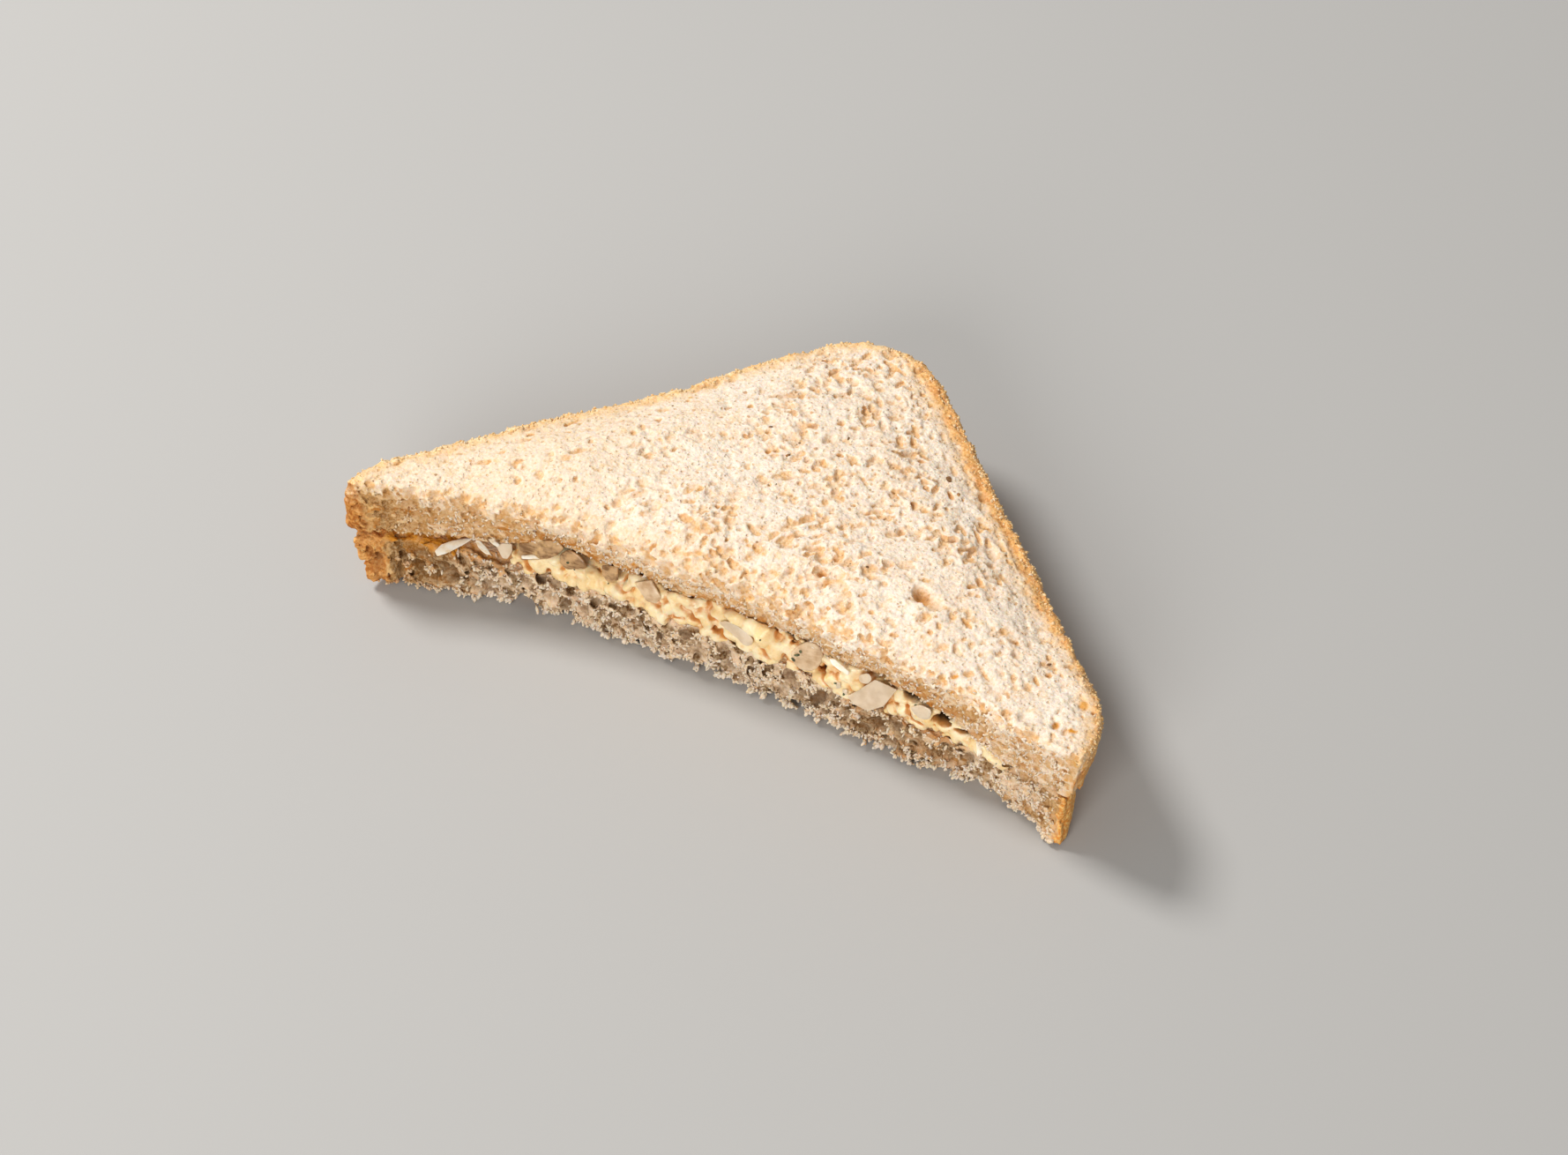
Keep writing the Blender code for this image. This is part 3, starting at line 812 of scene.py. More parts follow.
def roughen(field, amounts, seed, band=1.5, ridge=()):
    where, p = field.points(np.abs(field.data) < band)
    add = np.zeros(len(p), np.float32)
    for k, (size, amount) in enumerate(amounts):
        add += amount * noise(p, size, seed + k)
    for k, (size, amount) in enumerate(ridge):
        add += amount * (np.abs(noise(p, size, seed + 50 + k)) - 0.3)
    field.data[tuple(where.T)] += add


TOP_HOLES = [  # x, y, half length, half width, depth, turn
    (33.6, -19.0, 2.5, 1.7, 2.1, -38), (36.0, -19.6, 2.6, 1.9, 1.15, -30), (23.2, -6.1, 1.25, 0.95, 1.3, -60),
    (-5.7, 6.8, 1.9, 1.25, 0.55, 30), (-3.6, 6.4, 1.3, 0.9, 0.4, 10), (12.1, 15.8, 1.7, 0.55, 0.9, -50), (13.4, 19.9, 1.9, 0.5, 0.8, -48),
    (8.65, 12.2, 1.0, 0.9, 0.55, 0), (14.4, 8.6, 0.85, 0.75, 0.9, 0), (16.9, 8.3, 1.1, 0.7, 1.0, -30), (18.0, 12.8, 0.8, 0.6, 0.8, 0),
    (7.0, 0.9, 1.5, 0.7, 0.9, -70), (7.2, -1.2, 1.2, 0.9, 0.7, -20), (-4.2, -5.6, 0.9, 0.75, 0.8, 0), (5.0, -2.9, 1.4, 0.75, 0.75, 28),
    (5.5, -5.4, 1.7, 0.6, 0.4, 30), (17.4, 2.8, 0.6, 0.5, 1.1, 0), (26.5, 7.4, 1.3, 0.45, 0.9, -48), (16.8, -1.2, 1.25, 1.1, 0.6, 0),
    (7.4, -15.6, 1.2, 0.6, 0.8, 28), (11.4, -17.6, 2.1, 0.7, 0.9, 24), (16.2, -18.0, 0.7, 0.6, 1.3, 0), (15.4, -16.4, 1.5, 0.4, 0.7, -35),
    (15.3, -21.9, 1.3, 0.9, 1.8, -30), (17.6, -21.6, 2.1, 1.3, 0.8, 0), (19.2, -23.6, 2.5, 1.5, 0.7, -20), (16.9, -24.0, 1.2, 0.45, 1.1, 60),
    (15.2, -25.9, 0.95, 0.85, 0.7, 0), (25.1, -15.1, 1.2, 0.8, 0.95, 10), (27.6, -14.0, 1.5, 1.2, 0.5, 0), (43.4, -21.2, 1.9, 0.42, 1.1, -28),
    (42.7, -18.9, 1.1, 0.7, 0.6, -40), (32.7, -0.4, 1.7, 0.4, 0.8, -50), (35.3, 0.1, 3.1, 0.35, 0.6, -47), (41.0, -11.0, 1.4, 0.55, 0.9, -50),
    (40.8, -5.6, 1.0, 0.8, 0.9, -40), (27.3, -26.4, 0.9, 0.5, 0.7, 0), (30.9, -26.7, 0.9, 0.8, 0.5, 0), (28.2, -29.2, 0.8, 0.7, 0.6, 0),
    (38.3, -29.2, 1.9, 1.3, 0.35, 25), (-8.1, -21.8, 1.1, 0.9, 0.5, 20), (-15.0, -13.5, 1.4, 0.8, 0.6, 30), (2.5, -26.4, 0.5, 0.5, 0.8, 0),
    (53.9, -23.0, 1.1, 0.9, 0.9, -20), (49.7, -28.6, 0.7, 0.6, 0.7, 0), (51.1, -29.7, 1.6, 0.4, 0.9, -35), (46.2, -32.0, 0.8, 0.8, 0.6, 0),
    (59.4, -26.6, 1.4, 0.4, 0.8, -45), (60.6, -24.2, 0.8, 0.6, 0.9, 0), (66.7, -34.4, 0.8, 1.2, 0.9, 0), (69.2, -28.4, 1.1, 1.1, 0.45, 0),
    (62.9, -20.6, 0.8, 0.7, 0.6, 0), (-30.0, -8.0, 1.8, 0.7, 0.6, 42), (-38.5, -14.0, 2.0, 0.6, 0.6, 45), (-48.0, -20.5, 1.8, 0.5, 0.55, 46),
    (-22.0, 0.5, 1.7, 0.7, 0.6, 44), (-3.0, 27.0, 1.3, 0.8, 0.6, 0), (4.0, 24.0, 1.5, 0.6, 0.8, -50), (-12.0, 17.0, 1.2, 0.9, 0.6, 20),
]
TOP_CUT_HOLES = [  # x, z, half length, half height, depth
    (46.9, 23.3, 0.9, 0.7, 0.9), (43.6, 20.4, 0.8, 0.75, 1.1), (72.3, 22.3, 1.0, 1.2, 0.6), (62.4, 15.1, 0.9, 1.1, 2.0), (-5.1, 19.1, 1.9, 0.6, 0.8),
    (4.1, 24.0, 1.9, 0.6, 0.7), (-42.0, 21.9, 1.0, 0.9, 1.1), (-44.5, 20.6, 0.6, 0.5, 0.7), (53.2, 16.6, 0.55, 0.6, 1.6), (-55.0, 21.5, 1.2, 0.9, 0.7),
    (-64.0, 20.0, 1.4, 1.0, 0.8), (22.0, 20.5, 0.9, 0.5, 0.7), (15.0, 22.0, 1.3, 0.5, 0.6), (33.0, 21.0, 0.8, 0.6, 0.7), (-26.0, 20.0, 1.5, 0.6, 0.6),
]
BOTTOM_CUT_HOLES = [
    (43.4, 6.5, 2.5, 1.3, 3.2), (46.6, 3.7, 1.0, 1.1, 2.2), (54.4, 8.9, 0.9, 1.0, 1.9), (52.1, 4.7, 1.2, 0.9, 1.9), (38.6, 8.6, 1.4, 0.9, 2.4), (33.8, 4.4, 1.2, 1.0, 2.2), (61.9, 4.6, 0.8, 0.7, 0.9),
    (41.6, 2.5, 1.1, 1.0, 2.4), (48.6, 4.9, 0.9, 1.0, 2.4), (59.4, 3.5, 0.7, 0.6, 1.5), (50.4, 7.3, 1.1, 0.8, 2.0), (38.6, 5.2, 1.2, 0.8, 2.4),
    (36.0, 2.6, 0.9, 0.8, 2.2), (30.8, 7.8, 1.1, 0.8, 2.2), (26.4, 3.4, 1.0, 0.8, 2.2), (56.0, 2.6, 0.6, 0.6, 1.5), (45.4, 9.0, 1.0, 0.6, 1.8),
    (-20.6, 9.0, 1.9, 1.1, 2.2), (-26.0, 6.9, 1.1, 0.8, 1.5), (-22.5, 4.8, 0.7, 0.6, 1.1), (-47.5, 3.4, 1.0, 0.8, 1.5), (-50.7, 7.9, 1.0, 0.9, 1.0),
    (-39.7, 6.4, 1.3, 0.9, 1.3), (-61.9, 6.2, 1.9, 1.6, 2.8), (2.05, 9.2, 1.1, 1.3, 1.8), (4.9, 7.9, 0.8, 1.2, 1.5), (-17.1, 8.1, 0.7, 1.5, 1.3),
    (22.0, 8.2, 1.7, 0.9, 1.4), (-4.2, 5.9, 1.0, 0.8, 1.1), (-33.0, 3.4, 0.9, 0.7, 1.0), (12.5, 6.0, 1.0, 0.8, 1.1), (29.0, 5.0, 1.1, 0.7, 1.1), (35.5, 7.6, 1.2, 0.7, 1.2),
]


GOLDEN_SPOTS = [  # photo pixel and radius: places of the upper slice where the crumb is toasted or soaked
    (1082, 768, 0.75), (1080, 784, 0.5), (1063, 790, 0.55), (1229, 801, 0.95), (1216, 829, 0.7), (1197, 823, 0.6), (1219, 868, 0.85), (1178, 878, 0.5),
    (1184, 892, 0.55), (1208, 884, 0.6), (747, 664, 0.6), (775, 672, 0.5), (718, 640, 0.5), (656, 620, 0.6), (690, 622, 0.5), (575, 596, 0.5), (488, 583, 0.6),
]


def make_bread(node, field, seed, most):
    rng = np.random.default_rng(seed)
    body = Field(field.lo, field.step, field.data.copy())
    top = node == "bread_top"
    skin_of = Surface(body, node, rng)
    p, n, front, side = skin_of.p, skin_of.n, skin_of.front, skin_of.side
    face = (n[:, 2] > 0.55) & (p[:, 2] > 19) if top else (n[:, 2] < -0.8) & (p[:, 2] < 2.0)
    cut = (n[:, 1] < -0.45) & (front < 4.5) & (side > 0.8)

    blobs = []
    if top:
        roughen(field, ((13.0, 0.16), (5.0, 0.12), (2.6, 0.10)), seed * 10)
        open_crumb = face & (noise(p.astype(np.float32), 7.0, 61) + 0.6 * noise(p.astype(np.float32), 3.0, 62) > 0.45 * (1 - smooth(-30, -5, p[:, 0])) - 0.32 * smooth(-20, 0, p[:, 0])) & (rng.random(len(p)) < 1 - 0.45 * smooth(14, 32, p[:, 0]))
        blobs += skin_of.bubbles(1300, open_crumb & ((side > 9) | (p[:, 0] < 0) | (rng.random(len(p)) < 0.35)), (0.42, 0.85), power=1.6, out=(0.05, 0.55), flat=(0.7, 1.0), long=(1.0, 2.0))
        blobs += skin_of.bubbles(750, face, (0.40, 0.7), out=(0.25, 0.75), flat=(0.5, 0.9), long=(1.0, 2.4))
        blobs += skin_of.bubbles(210, face & (p[:, 0] > -25), (0.75, 1.4), out=(0.30, 0.75), long=(1.0, 1.9), flat=(0.5, 0.85))
        blobs += skin_of.bubbles(230, face & (front < 17) & (p[:, 0] > -28) & (p[:, 0] < 24), (0.5, 1.15), power=1.5, out=(0.15, 0.68), flat=(0.65, 1.0), long=(1.0, 2.0))
        blobs += skin_of.bubbles(70, face & (p[:, 0] < -25), (0.75, 1.3), out=(0.5, 0.85), long=(1.0, 1.9), flat=(0.5, 0.8))
        blobs += skin_of.bubbles(60, face, (1.3, 2.4), out=(0.72, 0.90), long=(1.0, 1.8), flat=(0.4, 0.7))
        blobs += skin_of.bubbles(120, face & (side < 18) & (p[:, 0] > 5), (0.42, 0.6), out=(0.3, 0.75), flat=(0.6, 0.9), long=(2.2, 4.6), turn=math.radians(-46))
        blobs += skin_of.bubbles(2200, cut, (0.40, 0.85), out=(0.0, 0.5), long=(1.1, 1.9), turn=0.0)
        blobs += skin_of.bubbles(260, cut, (0.7, 1.3), out=(0.35, 0.7), long=(1.2, 2.0), turn=0.0)
        blobs += skin_of.bubbles(110, cut & (p[:, 0] < -36), (0.7, 1.4), out=(0.0, 0.45), long=(1.0, 1.6), turn=0.0)
        late = [top_pit(body, *h) for h in TOP_HOLES] + [cut_pit(body, *h) for h in TOP_CUT_HOLES]
    else:
        roughen(field, ((11.0, 0.12),), seed * 10)
        blobs += skin_of.bubbles(4000, face, (0.42, 0.8), out=(0.2, 0.6))
        blobs += skin_of.bubbles(1500, cut, (0.45, 0.9), out=(-0.6, 0.3))
        blobs += skin_of.bubbles(520, cut & (np.abs(p[:, 0] + 3) < 60), (0.8, 1.5), out=(-0.1, 0.45), long=(1.0, 1.5), turn=0.0)
        blobs += skin_of.bubbles(190, cut & (p[:, 0] > 14) & (p[:, 0] < 56), (0.7, 1.4), out=(-0.4, 0.1), long=(1.0, 1.5), turn=0.0)
        blobs += skin_of.bubbles(100, cut & (p[:, 0] > -65) & (p[:, 0] < -46), (0.7, 1.4), out=(-0.4, 0.1), long=(1.0, 1.4), turn=0.0)
        late = [cut_pit(body, *h) for h in BOTTOM_CUT_HOLES]
        # the crust flap at the left end stands a little apart from the crumb
        for x, z, half, tall, inward in ((-65.8, 3.2, 0.80, 3.8, 3.0), (-66.6, 6.4, 0.50, 2.6, 2.0), (-69.4, 5.0, 0.35, 3.8, 1.1)):
            late.append((np.array((x, cut_at(body, x, z) - 0.2, z)), (half, inward, tall), 0.0, 0.0))
        # bites out of the lower edge
        for x, half, height, inward in ((-42.0, 3.1, 4.4, 5.4), (-8.3, 1.9, 1.3, 1.8), (-30.5, 1.3, 0.9, 1.0), (16.5, 1.6, 0.9, 1.1), (52.5, 1.5, 1.1, 1.2), (-52.5, 1.6, 0.8, 0.9), (33.0, 1.2, 0.8, 0.9)):
            late.append((np.array((x, float(cut_line(x)) - 0.8, -0.3)), (half, inward + 0.8, height + 0.3), 0.0, 0.0))
    carve(field, blobs)
    if top:
        # the left end stands square instead of leaning in
        carve(field, [(np.array((-73.8, -35.9, z)), (r, 2.3, 2.1), 0.0, 0.0) for z, r in ((14.9, 1.6), (17.4, 1.3), (20.0, 0.9))], add=True)
    # the fine web of cell walls, open on the cut faces and finer elsewhere
    where, q = field.points(np.abs(field.data) < 1.6)
    ahead = 1 - smooth(1.0, 3.2, q[:, 1] - cut_line(q[:, 0]))
    clear = smooth(0.6, 2.2, side_depth(node, q))
    add = 0.14 * noise(q, 2.4, seed * 10 + 3) + 0.10 * noise(q, 1.2, seed * 10 + 4)
    if top:
        add += (0.19 + 0.05 * smooth(-35, -5, q[:, 0])) * (np.abs(noise(q, (1.2, 1.0, 0.9), seed * 10 + 5)) - 0.28) + 0.12 * noise(q, 0.7, seed * 10 + 12)
        add += ahead * clear * (0.60 * (np.abs(noise(q, (1.7, 1.1, 1.0), seed * 10 + 6)) - 0.30) + 0.40 * (np.abs(noise(q, 0.8, seed * 10 + 7)) - 0.30))
    else:
        add += (0.34 - 0.10 * (1 - clear)) * (np.abs(noise(q, 0.95, seed * 10 + 5)) - 0.30)
        mid = 0.40 + 0.60 * (1 - smooth(46, 62, -q[:, 0] - 4)) * (1 - smooth(56, 72, q[:, 0] + 4))
        add += ahead * clear * mid * (1.95 * (np.abs(noise(q, (2.1, 1.7, 2.5), seed * 10 + 6)) - 0.19) + 0.34 * (np.abs(noise(q, 0.95, seed * 10 + 7)) - 0.3))
        end = 1 - smooth(-72, -66, q[:, 0])
        add += end * 0.5 * (np.abs(noise(q, (1.3, 1.3, 9.0), seed * 10 + 8)) - 0.3)
    if top:
        rim = (1 - smooth(0.9, 2.6, side_depth(node, q))) * smooth(20.5, 22.5, q[:, 2])
        add += rim * (0.26 * noise(q, 2.6, seed * 10 + 8) + 0.16 * noise(q, 1.2, seed * 10 + 9))
    inner = (q[:, 2] > 6) & (q[:, 2] < 20) & (q[:, 1] > cut_line(q[:, 0]) + 6.0) & (side_depth(node, q) > 5)
    add[inner] *= 0.3
    field.data[tuple(where.T)] += add.astype(np.float32)
    carve(field, late)
    if not top:
        floor = field.axes()[2] < 0.02
        field.data[:, :, floor] = np.maximum(field.data[:, :, floor], 0.05)
    say(node, "carved", len(blobs) + len(late))
    verts, quads = skin(field)
    verts, quads = drop_specks(verts, quads)
    mesh = thin_out(node + "_crumb", verts, quads, most)
    q = vertices_of(mesh)
    depth = -body.at(q)
    attribute(mesh, "depth", np.clip(depth, -1, 5))
    cavity = closed_in(field, mesh, q, 0.9)
    front = q[:, 1] - cut_line(q[:, 0])
    ahead = 1 - smooth(1.2, 3.4, front)
    x, z = q[:, 0], q[:, 2]
    tips = 1 - smooth(-73, -55, x)
    crust = side_depth(node, q) - 0.7 * ahead * np.clip((np.abs(x) - 60) / 8, 0, 1)
    if top:
        low = 1 - smooth(13.0, 16.0, z)
        below = 1 - smooth(19.8, 25.6, z + 2.2 * np.clip((40 - np.abs(x)) / 30, 0, 1))
        # tone and shade: the upper slice's crumb is painted browner and its pores darker on the cut face, most at the
        # left tip, a little on the shoulder above the cut and on the left arm; partly toasted, knife-dragged crumb and
        # partly painted shade
        tone = ahead * below * (0.42 + 0.70 * tips + 0.34 * middle_of_cut(x) * (1 - 0.7 * smooth(4, 14, x) * (1 - smooth(30, 44, x)))) * (1 - 0.42 * smooth(50, 60, x))
        tone = np.maximum(tone, 0.30 * (1 - smooth(2.0, 6.0, front)) * smooth(-45, -32, x) * (1 - smooth(4, 16, x)))
        tone = np.maximum(tone, 0.22 * (1 - smooth(-46, -16, x)) * (1 - 0.4 * below))
        stain_and_shade = (0.25 + 0.45 * smooth(-62, -48, x) * (1 - smooth(-18, -4, x))) * low * ahead
        crust -= 0.6 * ahead * (1 - smooth(-72, -66, x))
        baked = 0.8 * (1 - smooth(-73, -66, x)) * (1 - smooth(0.2, 0.7, normals_of(mesh)[:, 2]))
        shade = (0.30 + 0.35 * tips) * ahead * below * (1 - 0.35 * smooth(50, 60, x))
        up = normals_of(mesh)[:, 2]
        # painted shade on the steep walls of the pits in the upper face
        pit_wall_shade = np.clip((0.90 - up) / 0.45, 0, 1) * smooth(2.0, 4.0, front) * smooth(1.8, 3.6, side_depth(node, q)) * (z > 19)
        cavity = np.maximum(cavity, 0.36 * pit_wall_shade)
        crust += 0.1 * (1 - smooth(-8, 2, x)) * smooth(0.25, 0.75, up) - 0.9 * smooth(0, 8, x) * (1 - smooth(52, 60, x))
        crust += 0.5 * smooth(56, 64, x) * smooth(-0.1, 0.4, up)
        pale = smooth(20.5, 23.0, z + 0.8 * up) * (1 - 0.80 * smooth(0, 10, x) * (1 - 0.3 * smooth(62, 70, x)))
    else:
        up = normals_of(mesh)[:, 2]
        # the lower slice's upper strip by the cut: soaked with dressing, and painted shade under the upper slice, more
        # on its upward faces
        inner = smooth(9.3, 10.2, z + 0.5 * noise(q.astype(np.float32), 1.5, 9)) * (1 - smooth(4.0, 9.0, front))
        inner *= 0.35 + 0.65 * smooth(0.0, 0.6, up)
        # tone and shade: the lower slice's cut face, turned from the key light, is painted browner with the darkest
        # pores, more at the left end and between x 20 and 52; partly crust-zone crumb at the end, partly painted shade
        tone = ahead * (0.34 + 0.56 * (1 - smooth(-68, -44, x)) + 0.20 * smooth(20, 30, x) * (1 - smooth(44, 52, x)) + 0.04 * smooth(50, 64, x))
        stain_and_shade = 0.95 * inner * (1 - 0.45 * smooth(-60, -50, x)) * (1 - smooth(-46, -36, x)) + 0.15 * inner
        baked = 0.3 * (1 - smooth(-70, -62, x)) - 0.9 * smooth(58, 66, x)
        pale = 0.0 * x
        shade = 0.15 + 0.80 * ahead * (1 - 0.2 * smooth(50, 64, -x) - 0.45 * smooth(50, 62, x))
        crust -= 4.2 * ahead * (1 - smooth(-69.5, -66.5, x))
    crust += (2.2 if top else 1.1) * (1 - smooth(0.8, 2.6, front)) * smooth(56, 64, x)
    if top:
        tree = BVHTree.FromPolygons(q.tolist(), [tuple(f.vertices) for f in mesh.polygons])
        start = Vector(CAMERA_AT * 1000)
        for u, v, reach in GOLDEN_SPOTS:
            hit = tree.ray_cast(start, (Vector(on_cut(u, v, 0.0)) - start).normalized())[0]
            if hit is not None:
                away = np.linalg.norm(q - np.array(hit), axis=1) + 0.35 * noise(q.astype(np.float32), 0.9, 88)
                stain_and_shade = np.maximum(stain_and_shade, 1.0 * (1 - smooth(0.55 * reach, 1.15 * reach, away)))
    attribute(mesh, "cavity", cavity)
    attribute(mesh, "crust", crust)
    attribute(mesh, "pale", pale)
    attribute(mesh, "tone", tone)
    attribute(mesh, "shade", shade)
    attribute(mesh, "stain_and_shade", stain_and_shade)
    attribute(mesh, "baked", baked)
    return mesh, body, field


STEP = 0.33
HALF = 3
say("distances")
coarse = {n: body_field(n, STEP * HALF) for n in ("bread_bottom", "bread_top", "egg_salad")}
say("distances done", {n: f.data.shape for n, f in coarse.items()})
bread = bread_material("wholemeal_bread")

solids, carved, crumb_meshes = {}, {}, {}
for node, seed in (("bread_bottom", 11), ("bread_top", 23)):
    mesh, body, field = make_bread(node, coarse[node].finer(HALF), seed, 195000)
    solids[node], carved[node], crumb_meshes[node] = body, field, mesh
    add_object(node + "_crumb", mesh, bread, node)


# ---------------------------------------------------------------------------------------------------------------
# small things, joined by kind
# ---------------------------------------------------------------------------------------------------------------
def ball(subdivisions):
    bm = bmesh.new()
    bmesh.ops.create_icosphere(bm, subdivisions=subdivisions, radius=1.0)
    verts = np.array([v.co for v in bm.verts])
    faces = np.array([[v.index for v in f.verts] for f in bm.faces])
    bm.free()
    return verts, faces


def turned(rng):
    q = rng.normal(size=4)
    w, x, y, z = q / np.linalg.norm(q)
    return np.array(
        (
            (1 - 2 * (y * y + z * z), 2 * (x * y - w * z), 2 * (x * z + w * y)),
            (2 * (x * y + w * z), 1 - 2 * (x * x + z * z), 2 * (y * z - w * x)),
            (2 * (x * z - w * y), 2 * (y * z + w * x), 1 - 2 * (x * x + y * y)),
        )
    )


class Heap:
    """Many small solids collected into one mesh."""

    def __init__(self):
        self.verts, self.faces, self.tags, self.count = [], [], [], 0

    def add(self, verts, faces, tag=0.0):
        self.verts.append(verts)
        self.faces.append(faces + self.count)
        self.tags.append(np.full(len(verts), tag))
        self.count += len(verts)

    def mesh(self, name):
        return new_mesh(name, np.concatenate(self.verts), np.concatenate(self.faces))


def pebble(heap, rng, centre, radii, turn=None, base=None, rough=0.22, tag=0.0, square=2.0):
    """An uneven rounded lump; square above 2 makes it more like a block."""
    verts, faces = base
    v = verts.copy()
    if square > 2:
        v /= (np.abs(v) ** square).sum(1)[:, None] ** (1 / square)
    bumps = np.zeros(len(v))
    for k in range(3):
        bumps += np.sin(v @ rng.normal(size=3) * (1.6 + k) + rng.random() * 6) / (1.5 + k)
    v = v * (1 + rough * bumps[:, None] * 0.6) * np.asarray(radii)
    v = v @ (turned(rng) if turn is None else turn).T + centre
    heap.add(v, faces, tag)


def facing(x_axis, z_axis):
    """A turn whose columns are those two directions and the one square to both."""
    x = np.asarray(x_axis, float)
    x /= np.linalg.norm(x)
    z = np.asarray(z_axis, float)
    z -= x * (z @ x)
    z /= np.linalg.norm(z)
    return np.column_stack((x, np.cross(z, x), z))


SMALL, MEDIUM, LARGE = ball(1), ball(2), ball(4)
rng = np.random.default_rng(41)


def grains(node, count, edge_count, name, sizes):
    """Crumbs of bread that cling to the cut face, and ragged ones along its lower edge."""
    mesh = crumb_meshes[node]
    v = vertices_of(mesh)
    normals = normals_of(mesh)
    front = v[:, 1] - cut_line(v[:, 0])
    side = side_depth(node, v)
    low_z = 0.5 if node == "bread_bottom" else 13.0
    sunk = -solids[node].at(v)
    cut = np.flatnonzero((front < 2.2) & (sunk < 0.55 + 0.2 * smooth(-2, 14, v[:, 0])) & (side > 2.0) & (v[:, 0] > -66) & (normals[:, 1] < 0.1) & (v[:, 2] < low_z + 10.5))
    heap = Heap()
    for i in cut[rng.integers(0, len(cut), count)]:
        r = sizes[0] + (sizes[1] - sizes[0]) * rng.random() ** 2
        long = r * (1.0 + 2.2 * rng.random() ** 1.5)
        axis = facing(normals[i] + rng.normal(size=3) * 0.8, rng.normal(size=3))
        pebble(heap, rng, v[i] + normals[i] * r * 0.3, (long, r, r * (0.7 + 0.3 * rng.random())), turn=axis, base=SMALL, rough=0.4)
    if edge_count:
        lower = np.flatnonzero((front < 2.0) & (side > 1.5) & (v[:, 2] < 1.3) & (normals[:, 1] < -0.2))
        for i in lower[rng.integers(0, len(lower), edge_count)]:
            r = 0.26 + 0.26 * rng.random() ** 2
            out = np.array((0.3 * rng.normal(), -1.0, -0.35 + 0.3 * rng.normal()))
            axis = facing(out, rng.normal(size=3))
            long = r * (1.1 + 1.3 * rng.random()) * (1 - 0.4 * smooth(50, 60, abs(v[i, 0])))
            centre = v[i] + axis[:, 0] * long * 0.45
            centre[2] = max(centre[2], 0.12 + long * abs(axis[2, 0]) + r * 0.8)
            pebble(heap, rng, centre, (long, r, r * 0.85), turn=axis, base=SMALL, rough=0.4)
    for part in heap.verts:
        part[:, 2] = np.maximum(part[:, 2], 0.03)
    mesh = heap.mesh(name)
    q = vertices_of(mesh)
    for key, values in (("depth", -0.3), ("cavity", 0.0), ("stain_and_shade", 0.0), ("tone", 0.14 + 0.4 * (1 - smooth(-68, -50, q[:, 0]))), ("pale", 0.0), ("baked", 0.0), ("shade", 0.3)):
        attribute(mesh, key, np.full(len(q), values))
    attribute(mesh, "crust", side_depth(node, q) + 2)
    say(name, len(mesh.polygons), "triangles")
    add_object(name, mesh, bread, node)


def rim_crumbs(node, count, name):
    """Crumbs of crust that make the upper rim uneven."""
    mesh = crumb_meshes[node]
    v, normals = vertices_of(mesh), normals_of(mesh)
    side = side_depth(node, v)
    rim = np.flatnonzero((side < 1.5) & (v[:, 2] > 20.5) & (normals[:, 2] > -0.1) & (v[:, 1] > cut_line(v[:, 0]) + 2.0))
    heap = Heap()
    for i in rim[rng.integers(0, len(rim), count)]:
        r = 0.14 + 0.20 * rng.random() ** 2
        axis = facing(rng.normal(size=3), normals[i])
        pebble(heap, rng, v[i] + normals[i] * r * 0.15, (r * (1.0 + rng.random()), r, r * 0.9), turn=axis, base=SMALL, rough=0.4)
    mesh = heap.mesh(name)
    q = vertices_of(mesh)
    for key, values in (("depth", -0.3), ("cavity", 0.0), ("stain_and_shade", 0.0), ("tone", 0.0), ("pale", 0.8), ("baked", 0.0), ("shade", 0.1)):
        attribute(mesh, key, np.full(len(q), values))
    attribute(mesh, "crust", side_depth(node, q) + 0.5)
    add_object(name, mesh, bread, node)


rim_crumbs("bread_top", 1100, "bread_top_rim_crumbs")
grains("bread_bottom", 1700, 420, "bread_bottom_grains", (0.20, 0.36))
grains("bread_top", 1100, 0, "bread_top_grains", (0.17, 0.30))

# ---------------------------------------------------------------------------------------------------------------
# egg salad: mash, with pieces of egg white, onion and herb in it
# ---------------------------------------------------------------------------------------------------------------
egg = coarse["egg_salad"].finer(HALF)
egg_body = Field(egg.lo, egg.step, egg.data.copy())
where, p = egg.points(np.abs(egg.data) < 4.0)
ahead = 1 - smooth(2.5, 7.0, p[:, 1] - cut_line(p[:, 0]))
egg.data[tuple(where.T)] += (1.1 * ahead + 2.4 * ahead * (1 - smooth(-50, -42, p[:, 0]))).astype(np.float32)
roughen(egg, ((4.5, 0.45), (2.0, 0.35), (1.0, 0.12)), 77, band=2.6)


TOWARD = CAMERA_BACK / np.linalg.norm(CAMERA_BACK)
WHITE_BITS = (  # outline in photo pixels, how far behind the cut, thickness, lean of the face, rounding of the corners
    (((962, 790), (977, 781), (992, 771), (1016, 782), (1001, 801), (985, 806), (969, 799)), -0.7, 3.2, (-0.1, 0.2), 0),
    (((814, 706), (825, 704), (843, 714), (854, 724), (853, 731), (845, 733), (834, 722)), -0.8, 1.8, (0.0, 0.2), 1),
    (((562, 619), (570, 616), (581, 617), (581, 625), (575, 634), (569, 633)), 0.2, 2.0, (0.1, 0.2), 0),
    (((1032, 803), (1044, 799), (1057, 806), (1053, 817), (1040, 813)), -0.4, 1.6, (0.0, 0.2), 1),
    (((974, 766), (984, 763), (989, 770), (984, 776), (975, 774)), -0.4, 1.2, (0.0, 0.2), 1),
    (((948, 774), (953, 774), (954, 780), (949, 781)), -0.6, 0.8, (0.0, 0.1), 0), (((955, 782), (961, 782), (961, 788), (956, 788)), -0.6, 0.8, (0.0, 0.1), 0),
)
